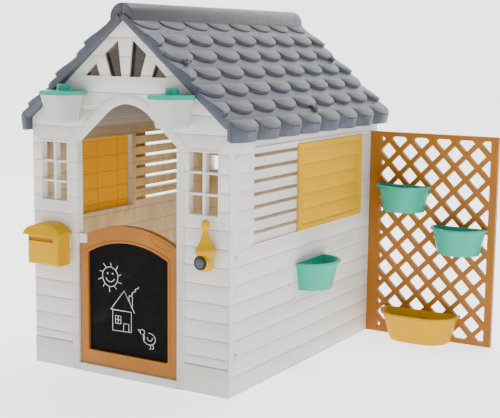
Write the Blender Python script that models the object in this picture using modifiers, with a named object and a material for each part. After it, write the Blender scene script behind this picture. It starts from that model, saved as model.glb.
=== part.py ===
"""Plastic garden playhouse: moulded walls, tiled roof, half door, shutters, trellis and planters.

House frame while modelling: X = 0 on the middle of the gable walls, Y = 0 on the front wall's face,
Y grows towards the back, Z = 0 on the ground. One empty then moves everything, so that the origin
ends at the middle of the whole object's footprint. All sizes are in metres.
"""
import math

import bmesh
import bpy
from mathutils import Matrix, Vector

# ---- overall sizes ------------------------------------------------------------------------------
HOUSE_WIDTH = 0.840          # over the outer faces of the side walls
HOUSE_DEPTH = 1.150          # front face to back face
ROOF_SEAT_PEAK = 1.260       # height of the roof's underside at the ridge
ROOF_PITCH = math.radians(40.2)
WALL = 0.024                 # wall thickness
SEAT = 0.0003                # gap left between touching pieces

# ---- doorway, windows and vents in the gable walls ------------------------------------------------
DOORWAY_WIDTH = 0.424
THRESHOLD = 0.030            # height of the bar under the door
ARCH_TOP = 0.970
ARCH_RADIUS = 0.152
ARCH_SHOULDER = math.radians(41.2)
WINDOW_EDGE = 0.045          # wall's outer edge to the window
WINDOW_WIDTH = 0.114
WINDOW_BOTTOM = 0.615
PANE_HEIGHT = 0.064
GLAZING_BAR = 0.011          # upright bar; the cross bars are CROSS_BAR thick
CROSS_BAR = 0.008
VENT_SILL = 1.062
VENT_QUAD = ((0.016, 0.0), (0.030, 0.125), (0.088, 0.077), (0.063, 0.0))
VENT_TRIANGLE = ((0.108, 0.0), (0.124, 0.047), (0.173, 0.0))
FLANGE_DEPTH = 0.042         # inner flanges that the bolts go into
FLANGE = 0.022
RAKE_FLANGE = 0.026

# ---- side walls -------------------------------------------------------------------------------
SLAT_MARGIN = 0.153          # front face to the first end of the slat gaps
SLAT_LENGTH = 0.406
SLAT_GAP = 0.0135
SLAT_PITCH = 0.0438
SLAT_COUNT = 7
SLAT_TOP = 0.812
POST = 0.025                 # upright between the slats and the window
WINDOW_MARGIN = 0.165        # side window to the back face
SIDE_WINDOW = (0.522, 0.808)
RAIL_PROUD = 0.006
RAIL_HEIGHT = 0.008
TOP_RAIL = 0.030
TOP_RAIL_DROP = 0.045
TOP_RAIL_INSET = 0.070

# ---- shutters -----------------------------------------------------------------------------------
SHUTTER_WIDTH = 0.527
SHUTTER_Z = (0.505, 0.825)
SHUTTER_PLATE = 0.008
SHUTTER_BORDER = 0.020
SHUTTER_RELIEF = 0.003
SLIDE_GAP = 0.0005

# ---- roof -------------------------------------------------------------------------------------
GABLE_OVERHANG = 0.030
EAVE_NOTCH = -0.001           # side wall's face to the notch between two eave tiles
RIDGE_TOP = 1.310
RIDGE_RADIUS = 0.049
RIDGE_OVERHANG = 0.022
ROW_COUNT = 7
FIRST_ROW = 0.042
TILE_COUNT = 8
TILE_LOBE = 0.050
TILE_THICK = 0.012
TILE_LOW = 0.019             # top of a tile at its upper edge, above the roof's underside
TILE_HIGH = 0.037            # top of a tile at its rounded tip
ROOF_PLATE = 0.010
SKIRT_DROP = 0.041
SKIRT_INSET = 0.004

# ---- door --------------------------------------------------------------------------------------
DOOR_CLEARANCE = 0.0015
DOOR_SETBACK = 0.001
DOOR_THICK = 0.024
DOOR_LIFT = 0.002
DOOR_PEAK = 0.546
DOOR_SHOULDER = 0.487
STILE = 0.0385
DOOR_BOTTOM_RAIL = 0.052
PANEL_PEAK = 0.486
PANEL_SHOULDER = 0.440
BOARD_LIP = 0.008            # depth of the frame in front of the board
BOARD_LAP = 0.006
BOARD_THICK = 0.0045
HINGE_INSET = 0.024          # jamb to the hinge axis
HINGE_EDGE_ROUND = 0.006
PIN_RADIUS = 0.006
PIN_LENGTH = 0.016
BRACKET_Z = (0.469, 0.503)
RUNNING = 0.0004

# ---- letterbox, bell and lanterns ------------------------------------------------------------------
SHELL = 0.003                # wall of the small moulded shells
BOX_CENTRE_X = -0.324
BOX_WIDTH = 0.142
BOX_DEPTH = 0.070
BOX_Z = (0.385, 0.493)
BOX_FLOOR_INSET = 0.006
SLOT_WIDTH = 0.112
SLOT_HEIGHT = 0.014
SLOT_DROP = 0.008            # top of the box to the slot
SLOT_SHIFT = -0.006
LID_OVERHANG = 0.010
LID_FRONT = 0.006
LID_SIDE = 0.008             # height of the lid's straight side
LID_RISE = 0.0437
LID_SLOPE = 0.90             # height of the lid's front, as a share of its back
LID_LEAN = 0.45              # how far the lid's front leans back, for its height
BELL_X = 0.344
BELL_OUT = 0.030             # wall to the bell's axis
BELL_PROFILE = ((0.0, 0.605), (0.010, 0.6025), (0.0148, 0.5905), (0.0105, 0.577), (0.0088, 0.5715),
                (0.013, 0.552), (0.0215, 0.526), (0.0345, 0.510), (0.0345, 0.4935), (0.0325, 0.4905),
                (0.026, 0.4895), (0.026, 0.446), (0.018, 0.434), (0.0, 0.432))
BUTTON_Z = 0.466
BUTTON_RADIUS = 0.0232
BUTTON_COLLAR = 0.0262
BUTTON_FACE = 0.060          # wall to the collar's front
BUTTON_PROUD = 0.005
BUTTON_TRAVEL = 0.004
BUTTON_LENGTH = 0.014
MODULE_SIZE = (0.020, 0.018, 0.044)
LANTERN_X = 0.228
LANTERN_OUT = 0.054
LANTERN_TOP_RADIUS = 0.083
LANTERN_FOOT_RADIUS = 0.058
LANTERN_Z = (0.902, 0.997)
CAP_RADIUS = 0.0895
CAP_THICK = 0.014
KNOB_RADIUS = 0.0225
KNOB_HEIGHT = 0.022

# ---- trellis and planters ----------------------------------------------------------------------------
TRELLIS_WIDTH = 0.5347
TRELLIS_HEIGHT = 0.830
TRELLIS_THICK = 0.020
TRELLIS_BACK = 0.042         # trellis's back face to the house's back face
TRELLIS_STILE = 0.0475
TRELLIS_OUTER_STILE = 0.029
TRELLIS_RAIL = 0.018
LATTICE_PITCH = (0.094, 0.096)
LATTICE_BAR = 0.0185
LATTICE_START = (0.0777, 0.753)
BOSS_RADIUS = 0.018
PLANTER_RADIUS = 0.106
PLANTER_TAPER = 0.80
PLANTER_HEIGHT = 0.105
PLANTER_LIP = 0.0085
PLANTER_LIP_THICK = 0.006
TROUGH_STRAIGHT = 0.095
TROUGH_REACH = 0.032         # straight depth of its sides before they curve
TROUGH_HEIGHT = 0.115
WALL_PLANTER = (0.5705, 0.386)      # Y of its middle, height of its rim
UPPER_PLANTER = (0.1567, 0.621)      # X from the trellis's inner edge, height of its rim
LOWER_PLANTER = (0.3937, 0.470)
TROUGH_X = 0.2497
BOLT_BELOW_RIM = 0.020

# ---- fasteners ------------------------------------------------------------------------------------
BOLT_RADIUS = 0.004
BOLT_HEAD = 0.012
BOLT_HEAD_THICK = 0.005
BOLT_CLEARANCE = 0.001       # round and over a head, in what fits over it
BOLT_HOLE = BOLT_RADIUS + SEAT
CORNER_BOLT_Z = (0.134, 0.470, 0.804)
CORNER_BOLT_Y = 0.042
TRELLIS_BOLT_Z = (0.075, 0.410, 0.745)
ROOF_BOLT_LOW = 0.530        # distance down the slope from the ridge
ROOF_BOLT_HIGH = 0.262
ROOF_BOLT_HIGH_Y = 0.034
ROOF_BOLT_SEAT = 0.016       # flat seat above the roof's underside
COUNTERBORE = 0.013

# ---- values worked out from the ones above --------------------------------------------------------------
HALF = HOUSE_WIDTH / 2
SLOPE = math.tan(ROOF_PITCH)
COS_PITCH = math.cos(ROOF_PITCH)
SIN_PITCH = math.sin(ROOF_PITCH)
WALL_PEAK = ROOF_SEAT_PEAK - SEAT / COS_PITCH
DOORWAY_HALF = DOORWAY_WIDTH / 2
SIDE_INNER = HALF - WALL
SIDE_START = WALL + SEAT
SIDE_END = HOUSE_DEPTH - WALL - SEAT
WINDOW_START = SLAT_MARGIN + SLAT_LENGTH + POST
WINDOW_END = HOUSE_DEPTH - WINDOW_MARGIN
SHUTTER_END = WINDOW_END
SHUTTER_START = SHUTTER_END - SHUTTER_WIDTH
SHUTTER_TRAVEL = SHUTTER_START - SLAT_MARGIN
ROOF_START = -GABLE_OVERHANG
ROOF_END = HOUSE_DEPTH + GABLE_OVERHANG
TILE_PITCH = (ROOF_END - ROOF_START) / TILE_COUNT
EAVE_U = (HALF + EAVE_NOTCH) / COS_PITCH
ROW_PITCH = (EAVE_U - FIRST_ROW) / (ROW_COUNT - 1)
TILE_TILT = math.atan((TILE_HIGH - TILE_LOW) / (ROW_PITCH + TILE_LOBE))
DOOR_LEFT = -DOORWAY_HALF + DOOR_CLEARANCE
DOOR_RIGHT = DOORWAY_HALF - DOOR_CLEARANCE
DOOR_BOTTOM = THRESHOLD + DOOR_LIFT
HINGE = Vector((-DOORWAY_HALF + HINGE_INSET, DOOR_SETBACK + DOOR_THICK / 2, DOOR_BOTTOM))
TRELLIS_Y = (HOUSE_DEPTH - TRELLIS_BACK - TRELLIS_THICK, HOUSE_DEPTH - TRELLIS_BACK)
TRELLIS_X = HALF + SEAT
LID_BACK = SHELL + 2 * SEAT + 0.0017
LID_TOP = BOX_Z[1] + SEAT + LID_RISE
LID_HINGE_Y = -(LID_BACK + 0.004)
LEFT_END = -((EAVE_U - ROW_PITCH) * COS_PITCH + TILE_LOW * SIN_PITCH
             + (ROW_PITCH + TILE_LOBE) * math.cos(ROOF_PITCH - TILE_TILT))
RIGHT_END = TRELLIS_X + TRELLIS_WIDTH
FRONT_END = -(LANTERN_OUT + CAP_RADIUS * math.cos(math.radians(30)))
ORIGIN = Vector(((LEFT_END + RIGHT_END) / 2, (FRONT_END + ROOF_END) / 2, 0.0))

PARTS = "plastic_playhouse"


# ---- scene, materials and mesh helpers ------------------------------------------------------------------
def clear_scene():
    for item in list(bpy.data.objects):
        bpy.data.objects.remove(item, do_unlink=True)


def make_material(name, colour, roughness, alpha=1.0):
    material = bpy.data.materials.new(name)
    material.use_nodes = True
    shader = material.node_tree.nodes["Principled BSDF"]
    shader.inputs["Base Color"].default_value = (*colour, 1.0)
    shader.inputs["Roughness"].default_value = roughness
    shader.inputs["Metallic"].default_value = 0.0
    shader.inputs["Alpha"].default_value = alpha
    return material


def new_object(name, mesh):
    item = bpy.data.objects.new(name, mesh)
    bpy.data.collections[PARTS].objects.link(item)
    return item


def object_from_bmesh(name, mesh_data):
    bmesh.ops.recalc_face_normals(mesh_data, faces=mesh_data.faces)
    mesh = bpy.data.meshes.new(name)
    mesh_data.to_mesh(mesh)
    mesh_data.free()
    return new_object(name, mesh)


def evaluated_mesh(item):
    bpy.context.view_layer.update()
    depsgraph = bpy.context.evaluated_depsgraph_get()
    return bpy.data.meshes.new_from_object(item.evaluated_get(depsgraph))


def box(name, low, high):
    mesh_data = bmesh.new()
    bmesh.ops.create_cube(mesh_data, size=1.0)
    size = [b - a for a, b in zip(low, high)]
    centre = [(a + b) / 2 for a, b in zip(low, high)]
    bmesh.ops.scale(mesh_data, vec=size, verts=mesh_data.verts)
    bmesh.ops.translate(mesh_data, vec=centre, verts=mesh_data.verts)
    return object_from_bmesh(name, mesh_data)


def cylinder(name, start, end, radius, end_radius=None, segments=16, turn=0.0):
    """A round, or with few segments a faceted, bar from start to end."""
    start, end = Vector(start), Vector(end)
    axis = end - start
    mesh_data = bmesh.new()
    bmesh.ops.create_cone(mesh_data, cap_ends=True, segments=segments, radius1=radius,
                          radius2=radius if end_radius is None else end_radius, depth=axis.length)
    bmesh.ops.rotate(mesh_data, cent=(0, 0, 0), matrix=Matrix.Rotation(turn, 3, "Z"),
                     verts=mesh_data.verts)
    aim = Vector((0, 0, 1)).rotation_difference(axis).to_matrix()
    bmesh.ops.rotate(mesh_data, cent=(0, 0, 0), matrix=aim, verts=mesh_data.verts)
    bmesh.ops.translate(mesh_data, vec=(start + end) / 2, verts=mesh_data.verts)
    return object_from_bmesh(name, mesh_data)


PLANES = {"XY": Matrix(((1, 0, 0), (0, 1, 0), (0, 0, 1))),
          "XZ": Matrix(((1, 0, 0), (0, 0, -1), (0, 1, 0))),
          "YZ": Matrix(((0, 0, 1), (1, 0, 0), (0, 1, 0)))}


def outline_solid(name, loops, plane, low, high):
    """Extrude a flat outline with holes; the first loop is the outside, low and high are the ends."""
    curve = bpy.data.curves.new(name, "CURVE")
    curve.dimensions = "2D"
    curve.fill_mode = "BOTH"
    curve.extrude = (high - low) / 2
    for loop in loops:
        spline = curve.splines.new("POLY")
        spline.points.add(len(loop) - 1)
        for point, (first, second) in zip(spline.points, loop):
            point.co = (first, second, 0.0, 1.0)
        spline.use_cyclic_u = True
    holder = new_object(name + "_outline", curve)
    mesh = evaluated_mesh(holder)
    bpy.data.objects.remove(holder)
    bpy.data.curves.remove(curve)
    mesh_data = bmesh.new()
    mesh_data.from_mesh(mesh)
    bpy.data.meshes.remove(mesh)
    bmesh.ops.remove_doubles(mesh_data, verts=mesh_data.verts, dist=0.00001)
    bmesh.ops.rotate(mesh_data, cent=(0, 0, 0), matrix=PLANES[plane], verts=mesh_data.verts)
    normal = PLANES[plane] @ Vector((0, 0, 1))
    middle = (low + high) / 2 * Vector([abs(c) for c in normal])
    bmesh.ops.translate(mesh_data, vec=middle, verts=mesh_data.verts)
    return object_from_bmesh(name, mesh_data)


def turned(name, profile, centre, segments):
    """Turn a profile of (radius, height) points, top to bottom, about an upright axis."""
    mesh = bpy.data.meshes.new(name)
    mesh.from_pydata([(radius, 0.0, height) for radius, height in profile],
                     [(i, i + 1) for i in range(len(profile) - 1)], [])
    item = new_object(name, mesh)
    screw = item.modifiers.new("turn", "SCREW")
    screw.steps = segments
    screw.render_steps = segments
    screw.use_merge_vertices = True
    screw.merge_threshold = 0.0001
    item.data = evaluated_mesh(item)
    item.modifiers.clear()
    item.data.transform(Matrix.Translation(centre))
    return item


def combine(item, tool, operation):
    modifier = item.modifiers.new("combine", "BOOLEAN")
    modifier.operation = operation
    modifier.solver = "EXACT"
    modifier.object = tool
    mesh = evaluated_mesh(item)
    item.modifiers.clear()
    old = item.data
    item.data = mesh
    bpy.data.meshes.remove(old)
    bpy.data.objects.remove(tool)
    return item


def join(item, *tools):
    for tool in tools:
        combine(item, tool, "UNION")
    return item


def cut(item, *tools):
    for tool in tools:
        combine(item, tool, "DIFFERENCE")
    return item


def finish(item, material, origin=None, turn_about_house=False):
    """Name the mesh, give it its material, and put its origin on its joint axis."""
    if turn_about_house:
        middle = Vector((0.0, HOUSE_DEPTH / 2, 0.0))
        turn = Matrix.Translation(middle) @ Matrix.Rotation(math.pi, 4, "Z") @ Matrix.Translation(-middle)
        item.data.transform(turn)
    if origin is not None:
        item.data.transform(Matrix.Translation(-Vector(origin)))
        item.location = origin
    item.data.materials.clear()
    item.data.materials.append(material)
    item.data.name = item.name
    item.data.shade_smooth()
    item.data.set_sharp_from_angle(angle=math.radians(30))
    return item


# ---- shared outlines and places ------------------------------------------------------------------------
def arc(centre, radius, start, end, steps):
    return [(centre[0] + radius * math.cos(start + (end - start) * i / steps),
             centre[1] + radius * math.sin(start + (end - start) * i / steps)) for i in range(steps + 1)]


def rectangle(low, high):
    return [(low[0], low[1]), (high[0], low[1]), (high[0], high[1]), (low[0], high[1])]


def arch_height(x, peak, shoulder, half_width):
    """Height at x of a circular arch that is peak high in the middle and shoulder high at its ends."""
    rise = peak - shoulder
    radius = (half_width ** 2 + rise ** 2) / (2 * rise)
    return peak - radius + math.sqrt(radius ** 2 - x ** 2)


def under_roof(x):
    """Height of the walls under the roof at a distance x from the middle."""
    return WALL_PEAK - abs(x) * SLOPE


def roof_point(u, n, y):
    """Point at u down the right-hand slope, n above the roof's underside."""
    return Vector((u * COS_PITCH + n * SIN_PITCH, y, ROOF_SEAT_PEAK - u * SIN_PITCH + n * COS_PITCH))


def doorway_outline():
    centre = (0.0, ARCH_TOP - ARCH_RADIUS)
    shoulder_x = ARCH_RADIUS * math.sin(ARCH_SHOULDER)
    shoulder_z = centre[1] + ARCH_RADIUS * math.cos(ARCH_SHOULDER)
    spring = shoulder_z - (DOORWAY_HALF - shoulder_x) * math.tan(ARCH_SHOULDER)
    crown = arc(centre, ARCH_RADIUS, math.pi / 2 - ARCH_SHOULDER, math.pi / 2 + ARCH_SHOULDER, 12)
    return [(-DOORWAY_HALF, THRESHOLD), (DOORWAY_HALF, THRESHOLD), (DOORWAY_HALF, spring), *crown,
            (-DOORWAY_HALF, spring)]


def pane_outlines():
    panes = []
    pane_width = (WINDOW_WIDTH - GLAZING_BAR) / 2
    for window in (-HALF + WINDOW_EDGE, HALF - WINDOW_EDGE - WINDOW_WIDTH):
        for column in range(2):
            for row in range(3):
                left = window + column * (pane_width + GLAZING_BAR)
                bottom = WINDOW_BOTTOM + row * (PANE_HEIGHT + CROSS_BAR)
                panes.append(rectangle((left, bottom), (left + pane_width, bottom + PANE_HEIGHT)))
    return panes


def vent_outlines():
    return [[(side * x, VENT_SILL + z) for x, z in shape]
            for shape in (VENT_QUAD, VENT_TRIANGLE) for side in (-1, 1)]


def roof_bolt_places():
    """(u, y) of the five bolts of one roof panel."""
    return [(ROOF_BOLT_LOW, CORNER_BOLT_Y), (ROOF_BOLT_LOW, HOUSE_DEPTH / 2),
            (ROOF_BOLT_LOW, HOUSE_DEPTH - CORNER_BOLT_Y), (ROOF_BOLT_HIGH, ROOF_BOLT_HIGH_Y),
            (ROOF_BOLT_HIGH, HOUSE_DEPTH - ROOF_BOLT_HIGH_Y)]


def roof_bolt_ends(u, y):
    return roof_point(u, ROOF_BOLT_SEAT + SEAT, y), roof_point(u, ROOF_BOLT_SEAT + SEAT - ROOF_BOLT_REACH, y)


ROOF_BOLT_REACH = 0.036
CORNER_BOLT_REACH = WALL + FLANGE
TRELLIS_BOLT_REACH = FLANGE + SEAT + WALL + SEAT + 0.026
PLANTER_BOLT_REACH = SHELL + 0.014


def mirrored(point):
    """The same point on the left-hand side, turned about the house's middle."""
    return Vector((-point[0], HOUSE_DEPTH - point[1], point[2]))


# ---- gable walls ---------------------------------------------------------------------------------------
def plate_with_openings(name, outer, openings, plane, low, high):
    """A flat plate with every opening cut through it."""
    plate = outline_solid(name, [outer], plane, low, high)
    spare = 0.005
    for opening in openings:
        cut(plate, outline_solid("opening", [opening], plane, low - spare, high + spare))
    return plate


def gable_wall(name, material, is_front):
    spare = 0.008
    outer = [(-HALF, 0.0), (HALF, 0.0), (HALF, under_roof(HALF) + spare), (0.0, WALL_PEAK + spare),
             (-HALF, under_roof(HALF) + spare)]
    holes = pane_outlines() + vent_outlines()
    if is_front:
        holes.append(doorway_outline())
    wall = plate_with_openings(name, outer, holes, "XZ", 0.0, WALL)
    inner = SIDE_INNER - SEAT
    back = WALL + FLANGE_DEPTH
    overlap = 0.001
    end = inner - overlap
    rake = [(-end, under_roof(end) + 2 * spare), (0.0, WALL_PEAK + 2 * spare), (end, under_roof(end) + 2 * spare),
            (end, under_roof(end) - RAKE_FLANGE), (0.0, WALL_PEAK - RAKE_FLANGE),
            (-end, under_roof(end) - RAKE_FLANGE)]
    join(wall, outline_solid("rake", [rake], "XZ", WALL - overlap, back - overlap))
    top = under_roof(inner) - RAKE_FLANGE / 2
    for side in (-1, 1):
        edges = sorted((side * (inner - FLANGE), side * inner))
        join(wall, box("flange", (edges[0], WALL - overlap, 0.0), (edges[1], back, top)))
        for height in CORNER_BOLT_Z:
            start = (side * (inner + 0.01), CORNER_BOLT_Y, height)
            end = (side * (inner - FLANGE - 0.01), CORNER_BOLT_Y, height)
            cut(wall, cylinder("bore", start, end, BOLT_HOLE, segments=8))
        for u, y in roof_bolt_places():
            if y > HOUSE_DEPTH / 4:
                continue
            head, tip = roof_bolt_ends(u, y)
            for point in (head, tip):
                point.x *= side
            cut(wall, cylinder("bore", head, tip + (tip - head) * 0.1, BOLT_HOLE, segments=8))
    above = [(-1.0, under_roof(1.0)), (0.0, WALL_PEAK), (1.0, under_roof(1.0)), (1.0, 2.0), (-1.0, 2.0)]
    cut(wall, outline_solid("above_roof_seat", [above], "XZ", -overlap, back + overlap))
    if is_front:
        socket = (HINGE.x, HINGE.y, DOOR_BOTTOM - PIN_LENGTH - RUNNING)
        cut(wall, cylinder("socket", socket, (HINGE.x, HINGE.y, THRESHOLD + 0.01), PIN_RADIUS + RUNNING))
    else:
        for height in TRELLIS_BOLT_Z:
            y = HOUSE_DEPTH - (TRELLIS_Y[0] + TRELLIS_Y[1]) / 2
            start = (-(inner + 0.01), y, height)
            end = (-(inner - FLANGE - 0.01), y, height)
            cut(wall, cylinder("bore", start, end, BOLT_HOLE, segments=8))
    return finish(wall, material, turn_about_house=not is_front)


# ---- side walls ----------------------------------------------------------------------------------------
def side_wall(name, material, is_right):
    high = ROOF_SEAT_PEAK
    outer = rectangle((SIDE_START, 0.0), (SIDE_END, high))
    gaps = []
    for row in range(SLAT_COUNT):
        top = SLAT_TOP - row * SLAT_PITCH
        gaps.append(rectangle((SLAT_MARGIN, top - SLAT_GAP), (SLAT_MARGIN + SLAT_LENGTH, top)))
    window = rectangle((WINDOW_START, SIDE_WINDOW[0]), (WINDOW_END, SIDE_WINDOW[1]))
    wall = plate_with_openings(name, outer, [*gaps, window], "YZ", SIDE_INNER, HALF)
    overlap = 0.001
    rail_low = under_roof(HALF) - TOP_RAIL_DROP
    join(wall, box("top_rail", (SIDE_INNER - TOP_RAIL, TOP_RAIL_INSET, rail_low),
                   (SIDE_INNER + overlap, HOUSE_DEPTH - TOP_RAIL_INSET, high)))
    for low in (SHUTTER_Z[0] - SLIDE_GAP - RAIL_HEIGHT, SHUTTER_Z[1] + SLIDE_GAP):
        join(wall, box("rail", (HALF - overlap, SLAT_MARGIN, low),
                       (HALF + RAIL_PROUD, SHUTTER_END + POST / 2, low + RAIL_HEIGHT)))
    near, far = SIDE_INNER - 2 * TOP_RAIL, HALF + TOP_RAIL
    above = [(near, under_roof(near)), (far, under_roof(far)), (far, 2 * high), (near, 2 * high)]
    cut(wall, outline_solid("above_roof_seat", [above], "XZ", -overlap, HOUSE_DEPTH + overlap))
    bores = [(y, z) for y in (CORNER_BOLT_Y, HOUSE_DEPTH - CORNER_BOLT_Y) for z in CORNER_BOLT_Z]
    if is_right:
        bores += [(sum(TRELLIS_Y) / 2, z) for z in TRELLIS_BOLT_Z]
    for y, z in bores:
        cut(wall, cylinder("bore", (SIDE_INNER - 0.01, y, z), (HALF + 0.01, y, z), BOLT_HOLE, segments=8))
    if is_right:
        y, z = WALL_PLANTER[0], WALL_PLANTER[1] - BOLT_BELOW_RIM
        end = HALF - PLANTER_BOLT_REACH
        cut(wall, cylinder("bore", (end, y, z), (HALF + 0.01, y, z), BOLT_HOLE, segments=8))
    for u, y in roof_bolt_places():
        if u == ROOF_BOLT_LOW:
            head, tip = roof_bolt_ends(u, y)
            cut(wall, cylinder("bore", head, tip + (tip - head) * 0.1, BOLT_HOLE, segments=8))
    return finish(wall, material, turn_about_house=not is_right)


def shutter(name, material, is_right):
    back = HALF + SEAT
    plate = box(name, (back, SHUTTER_START, SHUTTER_Z[0]), (back + SHUTTER_PLATE, SHUTTER_END, SHUTTER_Z[1]))
    rim = rectangle((SHUTTER_START, SHUTTER_Z[0]), (SHUTTER_END, SHUTTER_Z[1]))
    field = rectangle((SHUTTER_START + SHUTTER_BORDER, SHUTTER_Z[0] + SHUTTER_BORDER),
                      (SHUTTER_END - SHUTTER_BORDER, SHUTTER_Z[1] - SHUTTER_BORDER))
    front = back + SHUTTER_PLATE
    join(plate, outline_solid("border", [rim, field], "YZ", front - 0.001, front + SHUTTER_RELIEF))
    origin = Vector((back, SHUTTER_START, SHUTTER_Z[0]))
    return finish(plate, material, origin=origin if is_right else mirrored(origin),
                  turn_about_house=not is_right)


# ---- roof ------------------------------------------------------------------------------------------------
def scallop(row):
    """(u, y) points along the rounded lower edge of a row of tiles, from front to back."""
    u = FIRST_ROW + row * ROW_PITCH
    offset = 0.0 if (ROW_COUNT - 1 - row) % 2 == 0 else -TILE_PITCH / 2
    points = []
    for tile in range(TILE_COUNT + (1 if offset else 0)):
        middle = ROOF_START + offset + (tile + 0.5) * TILE_PITCH
        for step in range(7):
            angle = math.pi * step / 6
            y = middle - TILE_PITCH / 2 * math.cos(angle)
            if ROOF_START - 1e-6 <= y <= ROOF_END + 1e-6:
                points.append((u + TILE_LOBE * math.sin(angle), y))
    kept = points[:1]
    for point in points[1:]:
        if abs(point[0] - kept[-1][0]) + abs(point[1] - kept[-1][1]) > 1e-5:
            kept.append(point)
    return kept


def tile_row(row):
    """One row of fish-scale tiles: a thin slab, tipped up towards its rounded edge."""
    upper = max(FIRST_ROW + (row - 1) * ROW_PITCH, 0.006)
    lower_edge = scallop(row)
    outline = [(upper, ROOF_START), *lower_edge, (upper, ROOF_END)]
    outline = [(u - upper, y) for u, y in outline]
    slab = outline_solid("tile_row", [outline], "XY", -TILE_THICK, 0.0)
    start = roof_point(upper, TILE_LOW, 0.0)
    turn = Matrix.Rotation(ROOF_PITCH - TILE_TILT, 4, "Y")
    slab.data.transform(Matrix.Translation(start) @ turn)
    return slab


def eave_skirt():
    """The upright edge that hangs from the eave tiles, cut off under their top faces."""
    tilt = ROOF_PITCH - TILE_TILT
    upper = EAVE_U - ROW_PITCH
    start = roof_point(upper, TILE_LOW, 0.0)
    outer = [(start.x + (u - upper) * math.cos(tilt), y) for u, y in scallop(ROW_COUNT - 1)]
    tip = start.z - (EAVE_U + TILE_LOBE - upper) * math.sin(tilt)
    inner = HALF + SKIRT_INSET
    skirt = outline_solid("skirt", [[(inner, ROOF_START), *outer, (inner, ROOF_END)]], "XY",
                          tip - SKIRT_DROP, start.z)
    reach = 0.4
    top = [(start.x, start.z - 0.002), (start.x + reach, start.z - 0.002 - reach * math.tan(tilt)),
           (start.x + reach, start.z + reach), (start.x, start.z + reach)]
    return cut(skirt, outline_solid("above_tiles", [top], "XZ", ROOF_START - 0.1, ROOF_END + 0.1))


def tile_bed():
    """Solid bed between the panel's plate and the undersides of its tiles."""
    rise = math.tan(TILE_TILT)
    profile = []
    reached = 0.030
    for row in range(ROW_COUNT):
        upper = max(FIRST_ROW + (row - 1) * ROW_PITCH, 0.006)
        row_end = FIRST_ROW + row * ROW_PITCH - 0.002
        for u in (reached, row_end):
            profile.append((u, TILE_LOW - 0.004 + (u - upper) * rise))
        reached = row_end
    profile += [(reached, 0.003), (0.030, 0.003)]
    outline = [roof_point(u, n, 0.0) for u, n in profile]
    return outline_solid("tile_bed", [[(point.x, point.z) for point in outline]], "XZ",
                         ROOF_START + 0.001, ROOF_END - 0.001)


def ridge_half():
    """Half of the round ridge cap."""
    centre = (0.0, RIDGE_TOP - RIDGE_RADIUS)
    crown = arc(centre, RIDGE_RADIUS, 0.0, math.pi / 2, 8)[:-1]
    foot = ROOF_SEAT_PEAK - RIDGE_RADIUS * SLOPE + 0.004
    outline = [(SEAT / 2, foot), (RIDGE_RADIUS, foot), *crown, (SEAT / 2, RIDGE_TOP)]
    return outline_solid("ridge", [outline], "XZ", -RIDGE_OVERHANG, HOUSE_DEPTH + RIDGE_OVERHANG)


def roof_panel(name, material, is_right):
    def at(u, n):
        point = roof_point(u, n, 0.0)
        return (point.x, point.z)

    start = SEAT / 2
    plate = [(start, ROOF_SEAT_PEAK - start * SLOPE), at(EAVE_U, 0.0), at(EAVE_U, ROOF_PLATE),
             (start, ROOF_SEAT_PEAK + ROOF_PLATE / COS_PITCH - start * SLOPE)]
    panel = outline_solid(name, [plate], "XZ", ROOF_START + 0.004, ROOF_END - 0.004)
    for row in range(ROW_COUNT):
        join(panel, tile_row(row))
    join(panel, tile_bed())
    join(panel, eave_skirt(), ridge_half())
    foot = HALF + SKIRT_INSET
    below = [(start, ROOF_SEAT_PEAK - start * SLOPE), (foot, under_roof(foot) + SEAT / COS_PITCH),
             (foot, 0.5), (start, 0.5)]
    cut(panel, outline_solid("below_seat", [below], "XZ", ROOF_START - 0.1, ROOF_END + 0.1))
    for u, y in roof_bolt_places():
        seat = roof_point(u, ROOF_BOLT_SEAT, y)
        cut(panel, cylinder("counterbore", seat, roof_point(u, 0.08, y), COUNTERBORE, segments=16))
        cut(panel, cylinder("bore", roof_point(u, -0.02, y), roof_point(u, 0.05, y), BOLT_HOLE, segments=8))
    return finish(panel, material, turn_about_house=not is_right)


# ---- door --------------------------------------------------------------------------------------------------
def board_outline(grow):
    """Outline of the chalkboard's opening, made larger all round by grow."""
    half = DOOR_RIGHT - STILE
    bottom = DOOR_BOTTOM + DOOR_BOTTOM_RAIL
    steps = 10
    arch = []
    for i in range(steps + 1):
        x = half - 2 * half * i / steps
        arch.append((x * (half + grow) / half, arch_height(x, PANEL_PEAK, PANEL_SHOULDER, half) + grow))
    return [(-half - grow, bottom - grow), (half + grow, bottom - grow), *arch]


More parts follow.
